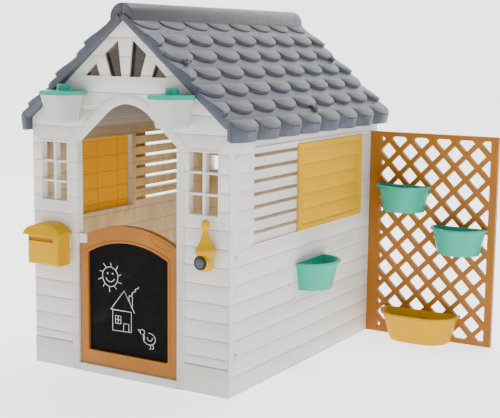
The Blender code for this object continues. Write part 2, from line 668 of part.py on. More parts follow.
def door_frame(material):
    notch_x = HINGE.x + DOOR_THICK / 2 + 0.0015
    notch_z = BRACKET_Z[0] - 0.0008
    steps = 12
    arch = []
    for i in range(steps + 1):
        x = DOOR_RIGHT + (notch_x - DOOR_RIGHT) * i / steps
        arch.append((x, arch_height(x, DOOR_PEAK, DOOR_SHOULDER, DOOR_RIGHT)))
    outer = [(DOOR_LEFT, DOOR_BOTTOM), (DOOR_RIGHT, DOOR_BOTTOM), *arch, (notch_x, notch_z),
             (DOOR_LEFT, notch_z)]
    front, back = DOOR_SETBACK, DOOR_SETBACK + DOOR_THICK
    door = outline_solid("door_frame", [outer, board_outline(0.0)], "XZ", front, back)
    round_edges(door, lambda a, b: abs(a.x - DOOR_LEFT) < 1e-5 and abs(b.x - DOOR_LEFT) < 1e-5
                and abs(a.z - b.z) > 0.1, HINGE_EDGE_ROUND)
    rebate = outline_solid("rebate", [board_outline(BOARD_LAP + SEAT)], "XZ", front + BOARD_LIP, back + 0.01)
    cut(door, rebate)
    foot = Vector((HINGE.x, HINGE.y, DOOR_BOTTOM))
    join(door, cylinder("pin", foot - Vector((0, 0, PIN_LENGTH)), foot + Vector((0, 0, 0.004)), PIN_RADIUS))
    head = Vector((HINGE.x, HINGE.y, notch_z))
    join(door, cylinder("pin", head - Vector((0, 0, 0.004)), head + Vector((0, 0, PIN_LENGTH)), PIN_RADIUS))
    return finish(door, material, origin=HINGE)


def round_edges(item, chosen, radius):
    mesh_data = bmesh.new()
    mesh_data.from_mesh(item.data)
    bmesh.ops.dissolve_limit(mesh_data, angle_limit=math.radians(1), verts=mesh_data.verts,
                             edges=mesh_data.edges)
    edges = [edge for edge in mesh_data.edges if chosen(edge.verts[0].co, edge.verts[1].co)]
    bmesh.ops.bevel(mesh_data, geom=edges, offset=radius, segments=3, profile=0.5, affect="EDGES",
                    material=-1)
    mesh_data.to_mesh(item.data)
    mesh_data.free()


def chalkboard(material):
    front = DOOR_SETBACK + BOARD_LIP + SEAT
    board = outline_solid("door_chalkboard", [board_outline(BOARD_LAP)], "XZ", front, front + BOARD_THICK)
    return finish(board, material, origin=HINGE)


def hinge_bracket(material):
    """Block on the left jamb that holds the door's upper pin; its end is round about the hinge axis."""
    radius = DOOR_THICK / 2
    left = -DOORWAY_HALF + SEAT
    nose = arc((HINGE.x, HINGE.y), radius, -math.pi / 2, math.pi / 2, 8)
    outline = [(left, HINGE.y + radius), (left, HINGE.y - radius), *nose]
    bracket = outline_solid("door_hinge_bracket", [outline], "XY", *BRACKET_Z)
    mouth = (HINGE.x, HINGE.y, BRACKET_Z[0] - 0.01)
    top = (HINGE.x, HINGE.y, BRACKET_Z[0] + PIN_LENGTH + RUNNING)
    cut(bracket, cylinder("bore", mouth, top, PIN_RADIUS + RUNNING))
    return finish(bracket, material)


# ---- letterbox -----------------------------------------------------------------------------------------------
def letterbox_body(material):
    low, high = BOX_Z
    left, right = BOX_CENTRE_X - BOX_WIDTH / 2, BOX_CENTRE_X + BOX_WIDTH / 2
    body = box("letterbox_body", (left, -BOX_DEPTH, low), (right, -SEAT, high))
    edge_round = 2 * SHELL
    round_edges(body, lambda a, b: a.y < -SEAT - 0.01 and b.y < -SEAT - 0.01 and
                (abs(a.x - b.x) < 1e-5 or a.z + b.z < 2 * low + 0.01), edge_round)
    room = box("room", (left + SHELL, -BOX_DEPTH + SHELL, low + SHELL),
               (right - SHELL, -SEAT - SHELL, high + 0.01))
    plate = box("back_plate", (left, -2 * SEAT - SHELL, low + BOX_DEPTH / 2),
                (right, -2 * SEAT, LID_TOP - LID_RISE / 2))
    slot_top = high - SLOT_DROP
    middle = BOX_CENTRE_X + SLOT_SHIFT
    slot = box("slot", (middle - SLOT_WIDTH / 2, -BOX_DEPTH - 0.01, slot_top - SLOT_HEIGHT),
               (middle + SLOT_WIDTH / 2, -BOX_DEPTH + 2 * SHELL, slot_top))
    cut(body, room, slot)
    join(body, plate)
    return finish(body, material)


def lid_outline(shrink):
    half = BOX_WIDTH / 2 + LID_OVERHANG - shrink
    bottom = BOX_Z[1] + SEAT
    shoulder = bottom + LID_SIDE - shrink
    steps = 10
    arch = []
    for i in range(steps + 1):
        angle = math.pi * i / steps
        rise = LID_TOP - shrink - shoulder
        arch.append((BOX_CENTRE_X + half * math.cos(angle), shoulder + rise * math.sin(angle)))
    return [(BOX_CENTRE_X - half, bottom), (BOX_CENTRE_X + half, bottom), *arch]


def letterbox_lid(material):
    front = -(BOX_DEPTH + LID_FRONT)
    lid = outline_solid("letterbox_lid", [lid_outline(0.0)], "XZ", front, -LID_BACK)
    inner = [(x, z if z > BOX_Z[1] + 2 * SEAT else z - 0.01) for x, z in lid_outline(SHELL)]
    room = outline_solid("room", [inner], "XZ", front + SHELL, -LID_BACK - SHELL)
    for item in (lid, room):
        for vert in item.data.vertices:
            if vert.co.y < (front - LID_BACK) / 2 and vert.co.z > BOX_Z[1]:
                vert.co.z = BOX_Z[1] + SEAT + (vert.co.z - BOX_Z[1] - SEAT) * LID_SLOPE
                vert.co.y += (vert.co.z - BOX_Z[1] - SEAT) * LID_LEAN
    cut(lid, room)
    return finish(lid, material, origin=(BOX_CENTRE_X, LID_HINGE_Y, LID_TOP))


# ---- bell ---------------------------------------------------------------------------------------------------
def bell_housing(material):
    axis = Vector((BELL_X, -BELL_OUT, 0.0))
    housing = turned("doorbell_housing", BELL_PROFILE, axis, 24)
    low, high = BUTTON_Z - BUTTON_COLLAR, 0.500
    join(housing, box("back_plate", (BELL_X - 0.0128, -BELL_OUT, low), (BELL_X + 0.0128, SEAT, high)))
    collar_start = (BELL_X, -BELL_OUT, BUTTON_Z)
    join(housing, cylinder("collar", collar_start, (BELL_X, -BUTTON_FACE, BUTTON_Z), BUTTON_COLLAR, segments=24))
    cut(housing, box("wall_side", (BELL_X - 0.1, -SEAT, 0.3), (BELL_X + 0.1, 0.1, 0.8)))
    bore_end = (BELL_X, -BUTTON_FACE + BUTTON_LENGTH + BUTTON_TRAVEL, BUTTON_Z)
    bore_start = (BELL_X, -BUTTON_FACE - 0.01, BUTTON_Z)
    cut(housing, cylinder("bore", bore_start, bore_end, BUTTON_RADIUS + RUNNING, segments=24))
    width, depth, height = (size / 2 + SEAT for size in MODULE_SIZE)
    room_start = -BUTTON_FACE + BUTTON_LENGTH + BUTTON_TRAVEL - 0.002
    cut(housing, box("module_room", (BELL_X - width, room_start, BUTTON_Z - height / 1.3),
                     (BELL_X + width, 0.01, BUTTON_Z - height / 1.3 + 2 * height)))
    return finish(housing, material)


def bell_module(material):
    """Sealed sound unit behind the button."""
    width, depth, height = MODULE_SIZE
    low = BUTTON_Z - (height / 2 + SEAT) / 1.3 + SEAT
    front = -SEAT - depth
    module = box("doorbell_sound_module", (BELL_X - width / 2, front, low),
                 (BELL_X + width / 2, -SEAT, low + height))
    reach = -BUTTON_FACE - BUTTON_PROUD + BUTTON_LENGTH + BUTTON_PROUD + BUTTON_TRAVEL + SEAT
    join(module, cylinder("switch", (BELL_X, front + 0.002, BUTTON_Z), (BELL_X, reach, BUTTON_Z), 0.005))
    return finish(module, material)


def bell_button(material):
    start = (BELL_X, -BUTTON_FACE - BUTTON_PROUD, BUTTON_Z)
    end = (BELL_X, -BUTTON_FACE + BUTTON_LENGTH, BUTTON_Z)
    button = cylinder("doorbell_button", start, end, BUTTON_RADIUS, segments=24)
    return finish(button, material, origin=start)


# ---- lanterns ------------------------------------------------------------------------------------------------
def lantern_cut(back):
    return box("wall_side", (-1.0, back, 0.5), (1.0, 0.5, 1.5))


def lantern_body(name, material, x):
    low, high = (x, -LANTERN_OUT, LANTERN_Z[0]), (x, -LANTERN_OUT, LANTERN_Z[1])
    turn = math.radians(30)
    body = cylinder(name, low, high, LANTERN_FOOT_RADIUS, LANTERN_TOP_RADIUS, segments=6, turn=turn)
    cut(body, lantern_cut(-SEAT))
    side = SHELL / math.cos(turn)
    floor = (x, -LANTERN_OUT, LANTERN_Z[0] + SHELL)
    above = (x, -LANTERN_OUT, LANTERN_Z[1] + 0.001)
    room = cylinder("room", floor, above, LANTERN_FOOT_RADIUS - side, LANTERN_TOP_RADIUS - side,
                    segments=6, turn=turn)
    cut(room, lantern_cut(-SEAT - SHELL))
    cut(body, room)
    return finish(body, material)


def lantern_cap(name, material, x):
    low = LANTERN_Z[1] + SEAT
    cap = cylinder(name, (x, -LANTERN_OUT, low), (x, -LANTERN_OUT, low + CAP_THICK), CAP_RADIUS,
                   CAP_RADIUS - 0.002, segments=6, turn=math.radians(30))
    near, far, clearance = 0.05, HALF, 0.0015
    notch = [(near, under_roof(near) - clearance), (far, under_roof(far) - clearance), (far, 1.5), (near, 1.5)]
    notch = [(math.copysign(first, x), second) for first, second in notch]
    cut(cap, lantern_cut(-SEAT), outline_solid("roof_notch", [notch], "XZ", ROOF_START - clearance, 0.1))
    knob = cylinder("knob", (x, -LANTERN_OUT, low + CAP_THICK - 0.004),
                    (x, -LANTERN_OUT, low + CAP_THICK + KNOB_HEIGHT), KNOB_RADIUS, KNOB_RADIUS * 0.9, segments=16)
    join(cap, knob)
    return finish(cap, material)


# ---- trellis and planters --------------------------------------------------------------------------------------
def clipped(polygon, low, high):
    """Cut a convex polygon to a rectangle (Sutherland-Hodgman)."""
    for axis, limit, sign in ((0, low[0], 1), (0, high[0], -1), (1, low[1], 1), (1, high[1], -1)):
        kept = []
        for first, second in zip(polygon, polygon[1:] + polygon[:1]):
            a, b = sign * (first[axis] - limit), sign * (second[axis] - limit)
            if a >= 0:
                kept.append(first)
            if (a > 0 > b) or (a < 0 < b):
                part = a / (a - b)
                kept.append((first[0] + (second[0] - first[0]) * part,
                             first[1] + (second[1] - first[1]) * part))
        polygon = [point for i, point in enumerate(kept) if math.dist(point, kept[i - 1]) > 1e-5]
        if len(polygon) < 3:
            return []
    return polygon


def polygon_area(polygon):
    return abs(sum(a[0] * b[1] - b[0] * a[1] for a, b in zip(polygon, polygon[1:] + polygon[:1]))) / 2


def lattice_openings():
    """Diamonds between the crossing bars, cut off at the frame."""
    low = (TRELLIS_X + TRELLIS_STILE, TRELLIS_RAIL)
    high = (TRELLIS_X + TRELLIS_WIDTH - TRELLIS_OUTER_STILE, TRELLIS_HEIGHT - TRELLIS_RAIL)
    pitch_x, pitch_z = LATTICE_PITCH
    half_x = pitch_x / 2 - LATTICE_BAR / math.sqrt(2)
    half_z = pitch_z / 2 - LATTICE_BAR / math.sqrt(2)
    columns = math.ceil(TRELLIS_WIDTH / pitch_x) + 1
    rows = math.ceil(TRELLIS_HEIGHT / pitch_z) + 1
    smallest = 0.00012
    openings = []
    for offset in (0.0, 0.5):
        for column in range(-1, columns):
            for row in range(-1, rows):
                x = TRELLIS_X + LATTICE_START[0] + (column + offset) * pitch_x
                z = LATTICE_START[1] - (row + offset) * pitch_z
                diamond = [(x - half_x, z), (x, z - half_z), (x + half_x, z), (x, z + half_z)]
                shape = clipped(diamond, low, high)
                if len(shape) > 2 and polygon_area(shape) > smallest:
                    openings.append(shape)
    return openings


def planter_bolt_places():
    """(x, z) on the trellis of the bolts that hold its three planters."""
    trough_rim = TROUGH_HEIGHT + SEAT
    return [(TRELLIS_X + UPPER_PLANTER[0], UPPER_PLANTER[1] - BOLT_BELOW_RIM),
            (TRELLIS_X + LOWER_PLANTER[0], LOWER_PLANTER[1] - BOLT_BELOW_RIM),
            (TRELLIS_X + TROUGH_X, trough_rim - BOLT_BELOW_RIM)]


def trellis(material):
    outer = rectangle((TRELLIS_X, 0.0), (TRELLIS_X + TRELLIS_WIDTH, TRELLIS_HEIGHT))
    panel = plate_with_openings("trellis_panel", outer, lattice_openings(), "XZ", *TRELLIS_Y)
    for z in CORNER_BOLT_Z:
        y = HOUSE_DEPTH - CORNER_BOLT_Y
        reach = HALF + BOLT_HEAD_THICK + 2 * BOLT_CLEARANCE
        cut(panel, cylinder("bolt_pocket", (HALF - 0.01, y, z), (reach, y, z), BOLT_HEAD + BOLT_CLEARANCE))
    middle = sum(TRELLIS_Y) / 2
    for z in TRELLIS_BOLT_Z:
        start = (HALF - 0.01, middle, z)
        end = (SIDE_INNER - SEAT - FLANGE + TRELLIS_BOLT_REACH + SEAT, middle, z)
        cut(panel, cylinder("bore", start, end, BOLT_HOLE, segments=8))
    for x, z in planter_bolt_places():
        join(panel, cylinder("boss", (x, TRELLIS_Y[0] + 0.0005, z), (x, TRELLIS_Y[1] - 0.0005, z), BOSS_RADIUS))
        end = TRELLIS_Y[0] - SEAT + PLANTER_BOLT_REACH + SEAT
        cut(panel, cylinder("bore", (x, TRELLIS_Y[0] - 0.01, z), (x, end, z), BOLT_HOLE, segments=8))
    return finish(panel, material)


def d_outline(radius, straight, reach, back):
    """Half-round plan with a straight middle and sides, flat at y = back, round towards -Y."""
    right = arc((straight / 2, -reach), radius, 0.0, -math.pi / 2, 8)
    left = arc((-straight / 2, -reach), radius, -math.pi / 2, -math.pi, 8)
    points = right + (left if straight else left[1:])
    return [(points[-1][0], back)] + [(points[0][0], back)] + [(x, y) for x, y in points if y < back - 1e-6]


def bowl(name, radius, straight, reach, back, low, high, taper):
    """Tapered solid with a half-round plan; low is the smaller end."""
    mesh_data = bmesh.new()
    rings = []
    for height, scale in ((low, taper), (high, 1.0)):
        loop = [mesh_data.verts.new((x * scale, y if y == back else y * scale, height))
                for x, y in d_outline(radius, straight, reach, back)]
        mesh_data.faces.new(loop)
        rings.append(loop)
    edges = [edge for edge in mesh_data.edges]
    bmesh.ops.bridge_loops(mesh_data, edges=edges)
    return object_from_bmesh(name, mesh_data)


def planter(name, material, place, straight=0.0, reach=0.0, height=PLANTER_HEIGHT):
    """Half-round pot with a lip, its back flat on what carries it; place moves it there."""
    rim = 0.0
    foot = -height
    pot = bowl(name, PLANTER_RADIUS, straight, reach, -SEAT, foot, rim, PLANTER_TAPER)
    join(pot, bowl("lip", PLANTER_RADIUS + PLANTER_LIP, straight, reach, -SEAT, rim - PLANTER_LIP_THICK,
                   rim, 1.0))
    room = bowl("room", PLANTER_RADIUS - SHELL, straight, reach, -SEAT - SHELL, foot + SHELL, rim + 0.002,
                PLANTER_TAPER * (1 - SHELL / PLANTER_RADIUS / 2))
    cut(pot, room)
    hole = (0.0, 0.01, -BOLT_BELOW_RIM)
    cut(pot, cylinder("bore", hole, (0.0, -0.02, -BOLT_BELOW_RIM), BOLT_HOLE, segments=8))
    pot.data.transform(place)
    return finish(pot, material)


# ---- bolts -----------------------------------------------------------------------------------------------------
def bolt(name, material, seat, direction, reach):
    """Bolt whose head lies on seat; direction points from the head into the work."""
    seat, direction = Vector(seat), Vector(direction).normalized()
    item = cylinder(name, seat - direction * BOLT_HEAD_THICK, seat, BOLT_HEAD * 0.85, BOLT_HEAD, segments=12)
    join(item, cylinder("shank", seat - direction * 0.002, seat + direction * reach, BOLT_RADIUS, segments=8))
    return finish(item, material)


def corner_bolts(material):
    corners = (("front_right", 1, CORNER_BOLT_Y), ("back_right", 1, HOUSE_DEPTH - CORNER_BOLT_Y),
               ("front_left", -1, CORNER_BOLT_Y), ("back_left", -1, HOUSE_DEPTH - CORNER_BOLT_Y))
    for corner, side, y in corners:
        for level, z in zip(("low", "middle", "high"), CORNER_BOLT_Z):
            bolt(f"corner_bolt_{corner}_{level}", material, (side * (HALF + SEAT), y, z), (-side, 0, 0),
                 CORNER_BOLT_REACH)


def roof_bolts(material):
    names = ("low_front", "low_middle", "low_back", "high_front", "high_back")
    back_to_front = ("low_back", "low_middle", "low_front", "high_back", "high_front")
    for side, labels in (("right", names), ("left", back_to_front)):
        for label, (u, y) in zip(labels, roof_bolt_places()):
            head, tip = roof_bolt_ends(u, y)
            if side == "left":
                head, tip = mirrored(head), mirrored(tip)
            bolt(f"roof_bolt_{side}_{label}", material, head, tip - head, ROOF_BOLT_REACH)


def other_bolts(trellis_material, planter_material, trough_material):
    inside = SIDE_INNER - SEAT - FLANGE - SEAT
    for level, z in zip(("low", "middle", "high"), TRELLIS_BOLT_Z):
        bolt(f"trellis_bolt_{level}", trellis_material, (inside, sum(TRELLIS_Y) / 2, z), (1, 0, 0),
             TRELLIS_BOLT_REACH)
    for label, (x, z) in zip(("upper", "lower", "trough"), planter_bolt_places()):
        seat = (x, TRELLIS_Y[0] - SEAT - SHELL - SEAT, z)
        colour = trough_material if label == "trough" else planter_material
        bolt(f"planter_bolt_{label}", colour, seat, (0, 1, 0), PLANTER_BOLT_REACH)
    y, rim = WALL_PLANTER
    bolt("planter_bolt_wall", planter_material, (HALF + SEAT + SHELL + SEAT, y, rim - BOLT_BELOW_RIM),
         (-1, 0, 0), PLANTER_BOLT_REACH)


# ---- the whole playhouse ----------------------------------------------------------------------------------------
def build():
    clear_scene()
    collection = bpy.data.collections.new(PARTS)
    bpy.context.scene.collection.children.link(collection)
    wall_grey = make_material("wall_plastic", (0.60, 0.59, 0.56), 0.55)
    roof_grey = make_material("roof_plastic", (0.16, 0.165, 0.19), 0.5)
    brown = make_material("trellis_brown_plastic", (0.42, 0.18, 0.045), 0.45)
    yellow = make_material("yellow_plastic", (0.66, 0.42, 0.04), 0.4)
    turquoise = make_material("turquoise_plastic", (0.15, 0.46, 0.38), 0.4)
    board_black = make_material("chalkboard_plastic", (0.012, 0.011, 0.010), 0.8)
    frosted = make_material("frosted_plastic", (0.62, 0.63, 0.61), 0.35, alpha=0.6)
    slate = make_material("button_plastic", (0.06, 0.08, 0.11), 0.4)

    gable_wall("front_wall", wall_grey, True)
    gable_wall("back_wall", wall_grey, False)
    for side, is_right in (("right", True), ("left", False)):
        side_wall(f"{side}_side_wall", wall_grey, is_right)
        shutter(f"{side}_shutter", yellow, is_right)
        roof_panel(f"roof_panel_{side}", roof_grey, is_right)
    door_frame(brown)
    chalkboard(board_black)
    hinge_bracket(wall_grey)
    letterbox_body(yellow)
    letterbox_lid(yellow)
    bell_housing(yellow)
    bell_module(slate)
    bell_button(slate)
    for side, x in (("left", -LANTERN_X), ("right", LANTERN_X)):
        lantern_body(f"lantern_body_{side}", frosted, x)
        lantern_cap(f"lantern_cap_{side}", turquoise, x)
    trellis(brown)
    to_trellis = Matrix.Translation((TRELLIS_X, TRELLIS_Y[0], 0.0))
    planter("trellis_planter_upper", turquoise,
            to_trellis @ Matrix.Translation((UPPER_PLANTER[0], 0.0, UPPER_PLANTER[1])))
    planter("trellis_planter_lower", turquoise,
            to_trellis @ Matrix.Translation((LOWER_PLANTER[0], 0.0, LOWER_PLANTER[1])))
    planter("trellis_trough", yellow,
            to_trellis @ Matrix.Translation((TROUGH_X, 0.0, TROUGH_HEIGHT + SEAT)),
            TROUGH_STRAIGHT, TROUGH_REACH, TROUGH_HEIGHT)
    planter("wall_planter", turquoise,
            Matrix.Translation((HALF, WALL_PLANTER[0], WALL_PLANTER[1])) @ Matrix.Rotation(math.pi / 2, 4, "Z"))
    corner_bolts(wall_grey)
    roof_bolts(roof_grey)
    other_bolts(brown, turquoise, yellow)

    root = bpy.data.objects.new("playhouse_origin", None)
    bpy.context.scene.collection.objects.link(root)
    root.location = -ORIGIN
    for item in collection.objects:
        item.parent = root


build()
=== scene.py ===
"""Looks of the plastic garden playhouse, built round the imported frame.

Places are in the house frame: X = 0 on the middle of the gable walls, Y = 0 on the front wall's face
and growing to the back, Z = 0 on the ground. Every mesh is moved by HOUSE_TO_FRAME once, when it is
finished, so objects sit at the origin, unturned and unscaled. All sizes are in metres.
"""
import logging
import math
from dataclasses import dataclass, field
from enum import Enum
from typing import Callable, NamedTuple, Sequence

import bmesh
import bpy
from mathutils import Matrix, Vector


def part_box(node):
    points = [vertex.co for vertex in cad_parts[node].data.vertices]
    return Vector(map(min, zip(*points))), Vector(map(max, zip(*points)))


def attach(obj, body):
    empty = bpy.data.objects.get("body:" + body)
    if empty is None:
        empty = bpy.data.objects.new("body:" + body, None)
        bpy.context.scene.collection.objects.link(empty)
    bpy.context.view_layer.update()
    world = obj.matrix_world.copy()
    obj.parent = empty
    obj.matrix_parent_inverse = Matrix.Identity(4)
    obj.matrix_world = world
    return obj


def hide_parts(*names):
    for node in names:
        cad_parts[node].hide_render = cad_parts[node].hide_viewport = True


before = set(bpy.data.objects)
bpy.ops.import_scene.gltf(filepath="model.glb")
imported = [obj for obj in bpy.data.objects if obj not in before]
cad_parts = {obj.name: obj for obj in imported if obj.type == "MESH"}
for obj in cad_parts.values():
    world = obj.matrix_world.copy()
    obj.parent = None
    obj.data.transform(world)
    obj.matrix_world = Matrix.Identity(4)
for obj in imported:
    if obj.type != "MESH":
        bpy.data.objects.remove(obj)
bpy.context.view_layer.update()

LOG = logging.getLogger("playhouse")

Point2 = tuple[float, float]
Loop = list[Point2]
Item = bpy.types.Object
Shape = bmesh.types.BMesh
Socket = bpy.types.NodeSocket

FRONT_LOW, FRONT_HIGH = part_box("front_wall")
HOUSE_TO_FRAME = Vector(((FRONT_LOW.x + FRONT_HIGH.x) / 2, FRONT_LOW.y, 0.0))
HALF = 0.420
DEPTH = 1.150
WALL = 0.024
ROOF_PEAK = 1.260
PITCH = math.radians(40.2)
COS, SIN, TAN = math.cos(PITCH), math.sin(PITCH), math.tan(PITCH)
DOORWAY_HALF = 0.212
BOARD_HEIGHT = 0.0625
BOARD_START = 0.131
TRELLIS_X = 0.4203
TRELLIS_Y = 1.088
LANTERN_X = 0.228
LANTERN_Y = -0.054
CHALK_PROUD = 0.0003
BOX_X = -0.324
BELL_X, BELL_Y, BUTTON_Z = 0.344, -0.030, 0.466
SEATED = 0.0003
HOUSE_MIDDLE = Vector((0.0, DEPTH / 2, 0.0))


class Plane(Enum):
    """How a flat outline (a, b) and a depth t become a point (x, y, z)."""

    XY = "xy"
    XZ = "xz"
    YZ = "yz"

    def point(self, a: float, b: float, t: float) -> Vector:
        """Place an outline point in space.

        Args:
            a: first outline coordinate, in metres.
            b: second outline coordinate, in metres.
            t: depth along the plane's normal, in metres.
        Returns:
            The point in the house frame.
        """
        if self is Plane.XY:
            return Vector((a, b, t))
        return Vector((a, t, b)) if self is Plane.XZ else Vector((t, a, b))


# ---- outlines ---------------------------------------------------------------------------------------
def arc(centre: Point2, radius: float, start: float, end: float, steps: int) -> Loop:
    """Points on an arc.

    Args:
        centre: middle of the circle.
        radius: its radius, in metres.
        start: first angle, in radians.
        end: last angle, in radians.
        steps: number of chords.
    Returns:
        The points, both ends included.
    """
    turns = angles(start, end, steps)
    return [(centre[0] + radius * math.cos(t), centre[1] + radius * math.sin(t)) for t in turns]


def angles(start: float, end: float, steps: int) -> list[float]:
    """Evenly spaced angles, both ends included.

    Args:
        start: first angle, in radians.
        end: last angle, in radians.
        steps: number of gaps between them.
    Returns:
        The angles.
    """
    return [start + (end - start) * k / steps for k in range(steps + 1)]


def rectangle(low: Point2, high: Point2) -> Loop:
    """Corners of a rectangle.

    Args:
        low: lower left corner.
        high: upper right corner.
    Returns:
        Four points, anticlockwise.
    """
    return [(low[0], low[1]), (high[0], low[1]), (high[0], high[1]), (low[0], high[1])]


def arch_height(x: float, peak: float, shoulder: float, half_width: float) -> float:
    """Height at x of a circular arch.

    Args:
        x: distance from the middle.
        peak: height in the middle.
        shoulder: height at the ends.
        half_width: half the arch's width.
    Returns:
        The height, in metres.
    """
    rise = peak - shoulder
    radius = (half_width ** 2 + rise ** 2) / (2 * rise)
    return peak - radius + math.sqrt(radius ** 2 - x ** 2)


def doorway(grow: float, bottom: float) -> Loop:
    """Outline of the doorway, made larger all round.

    Args:
        grow: how much larger, in metres.
        bottom: height of the lower edge.
    Returns:
        The outline, anticlockwise.
    """
    angle = math.radians(41.2)
    radius = 0.152 + grow
    centre = (0.0, 0.818)
    half = DOORWAY_HALF + grow
    edge_x, edge_z = radius * math.sin(angle), centre[1] + radius * math.cos(angle)
    spring = edge_z - (half - edge_x) * math.tan(angle)
    crown = arc(centre, radius, math.pi / 2 - angle, math.pi / 2 + angle, 24)
    return [(-half, bottom), (half, bottom), (half, spring), *crown, (-half, spring)]


def roof_under(x: float) -> float:
    """Height of the roof's underside.

    Args:
        x: distance from the middle.
    Returns:
        The height, in metres.
    """
    return ROOF_PEAK - abs(x) * TAN


def roof_point(u: float, n: float, y: float) -> Vector:
    """Point on the right-hand slope.

    Args:
        u: distance down the slope from the ridge.
        n: height above the roof's underside.
        y: distance from the front wall's face.
    Returns:
        The point in the house frame.
    """
    return Vector((u * COS + n * SIN, y, ROOF_PEAK - u * SIN + n * COS))


# ---- meshes -----------------------------------------------------------------------------------------
def make_object(name: str, shape: Shape, smooth_angle: float = 35.0) -> Item:
    """Turn a bmesh into an object with smooth shading up to an angle.

    Args:
        name: the object's name.
        shape: the bmesh, freed here.
        smooth_angle: edges sharper than this stay sharp, in degrees.
    Returns:
        The object, still in the house frame.
    """
    bmesh.ops.recalc_face_normals(shape, faces=shape.faces)
    mesh = bpy.data.meshes.new(name)
    shape.to_mesh(mesh)
    shape.free()
    mesh.shade_smooth()
    mesh.set_sharp_from_angle(angle=math.radians(smooth_angle))
    item = bpy.data.objects.new(name, mesh)
    bpy.context.scene.collection.objects.link(item)
    return item


def round_edges(shape: Shape, edges: list, width: float, segments: int) -> None:
    """Round some edges.

    Args:
        shape: the bmesh to change.
        edges: the edges.
        width: the rounding, in metres.
        segments: how many faces across it.
    """
    bmesh.ops.bevel(shape, geom=edges, offset=width, segments=segments, profile=0.5, affect="EDGES",
                    clamp_overlap=True, material=-1)


def append(shape: Shape, part: Shape) -> None:
    """Add one bmesh to another.

    Args:
        shape: the bmesh to change.
        part: what is added, freed here.
    """
    mesh = bpy.data.meshes.new("part")
    part.to_mesh(mesh)
    part.free()
    shape.from_mesh(mesh)
    bpy.data.meshes.remove(mesh)


def bridge(shape: Shape, rings: list, wrap: bool = False) -> None:
    """Make the faces between neighbouring rings of points.

    Args:
        shape: the bmesh that holds the points.
        rings: the rings, with equal numbers of points.
        wrap: whether the last ring joins the first.
    """
    for first, second in zip(rings, rings[1:] + (rings[:1] if wrap else [])):
        for i in range(len(first)):
            j = (i + 1) % len(first)
            shape.faces.new((first[i], first[j], second[j], second[i]))


def bevel_sharp(shape: Shape, width: float, segments: int = 2, angle: float = 30.0) -> None:
    """Round every edge sharper than an angle.

    Args:
        shape: the bmesh to change.
        width: the rounding, in metres.
        segments: how many faces across it.
        angle: the least angle between faces, in degrees.
    """
    limit = math.radians(angle)
    edges = [e for e in shape.edges if len(e.link_faces) == 2 and e.calc_face_angle() > limit]
    round_edges(shape, edges, width, segments)


def prism_bmesh(loop: Sequence[Point2], plane: Plane, low: float, high: float) -> Shape:
    """Solid between two depths with the outline of a loop.

    Args:
        loop: the outline.
        plane: the plane it lies in.
        low: first depth.
        high: last depth.
    Returns:
        A new bmesh.
    """
    shape = bmesh.new()
    face = shape.faces.new([shape.verts.new(plane.point(a, b, low)) for a, b in loop])
    made = bmesh.ops.extrude_face_region(shape, geom=[face])["geom"]
    moved = [v for v in made if isinstance(v, bmesh.types.BMVert)]
    bmesh.ops.translate(shape, vec=plane.point(0.0, 0.0, high - low), verts=moved)
    bmesh.ops.recalc_face_normals(shape, faces=shape.faces)
    return shape


def prism(name: str, loop: Sequence[Point2], plane: Plane, low: float, high: float,
          bevel: float = 0.0) -> Item:
    """Solid of an outline, with rounded edges.

    Args:
        name: the object's name.
        loop: the outline.
        plane: the plane it lies in.
        low: first depth.
        high: last depth.
        bevel: rounding of the sharp edges, in metres.
    Returns:
        The object.
    """
    shape = prism_bmesh(loop, plane, low, high)
    if bevel:
        bevel_sharp(shape, bevel)
    return make_object(name, shape)


def band(name: str, outer: Sequence[Point2], inner: Sequence[Point2], plane: Plane, low: float,
         high: float, bevel: float) -> Item:
    """Frame between two outlines that have the same number of points.

    Args:
        name: the object's name.
        outer: outside outline.
        inner: inside outline.
        plane: the plane they lie in.
        low: first depth.
        high: last depth.
        bevel: rounding of the edges, in metres.
    Returns:
        The object.
    """
    shape = bmesh.new()
    rings = [[shape.verts.new(plane.point(a, b, t)) for a, b in loop]
             for loop, t in ((outer, low), (outer, high), (inner, high), (inner, low))]
    bridge(shape, rings, wrap=True)
    bmesh.ops.recalc_face_normals(shape, faces=shape.faces)
    bevel_sharp(shape, bevel)
    return make_object(name, shape)


def lathe(name: str, profile: Sequence[Point2], centre: Point2, segments: int = 64) -> Item:
    """Turn a profile about an upright axis.

    Args:
        name: the object's name.
        profile: (radius, height) points.
        centre: (x, y) of the axis.
        segments: faces round it.
    Returns:
        The object.
    """
    shape = bmesh.new()
    verts = [shape.verts.new((r, 0.0, z)) for r, z in profile]
    edges = [shape.edges.new(pair) for pair in zip(verts, verts[1:])]
    bmesh.ops.spin(shape, geom=verts + edges, cent=(0, 0, 0), axis=(0, 0, 1), angle=2 * math.pi,
                   steps=segments, use_merge=True)
    bmesh.ops.remove_doubles(shape, verts=shape.verts, dist=0.00001)
    bmesh.ops.translate(shape, vec=(centre[0], centre[1], 0.0), verts=shape.verts)
    return make_object(name, shape, 40.0)


def rod(name: str, start: Vector, end: Vector, radius: float, segments: int = 32, bevel: float = 0.0) -> Item:
    """Round bar between two points.

    Args:
        name: the object's name.
        start: middle of the first end.
        end: middle of the last end.
        radius: in metres.
        segments: faces round it.
        bevel: rounding of its ends, in metres.
    Returns:
        The object.
    """
    shape = bmesh.new()
    axis = end - start
    bmesh.ops.create_cone(shape, cap_ends=True, segments=segments, radius1=radius, radius2=radius,
                          depth=axis.length)
    if bevel:
        bevel_sharp(shape, bevel, 2, 60.0)
    aim = Vector((0, 0, 1)).rotation_difference(axis).to_matrix()
    bmesh.ops.rotate(shape, cent=(0, 0, 0), matrix=aim, verts=shape.verts)
    bmesh.ops.translate(shape, vec=(start + end) / 2, verts=shape.verts)
    return make_object(name, shape)


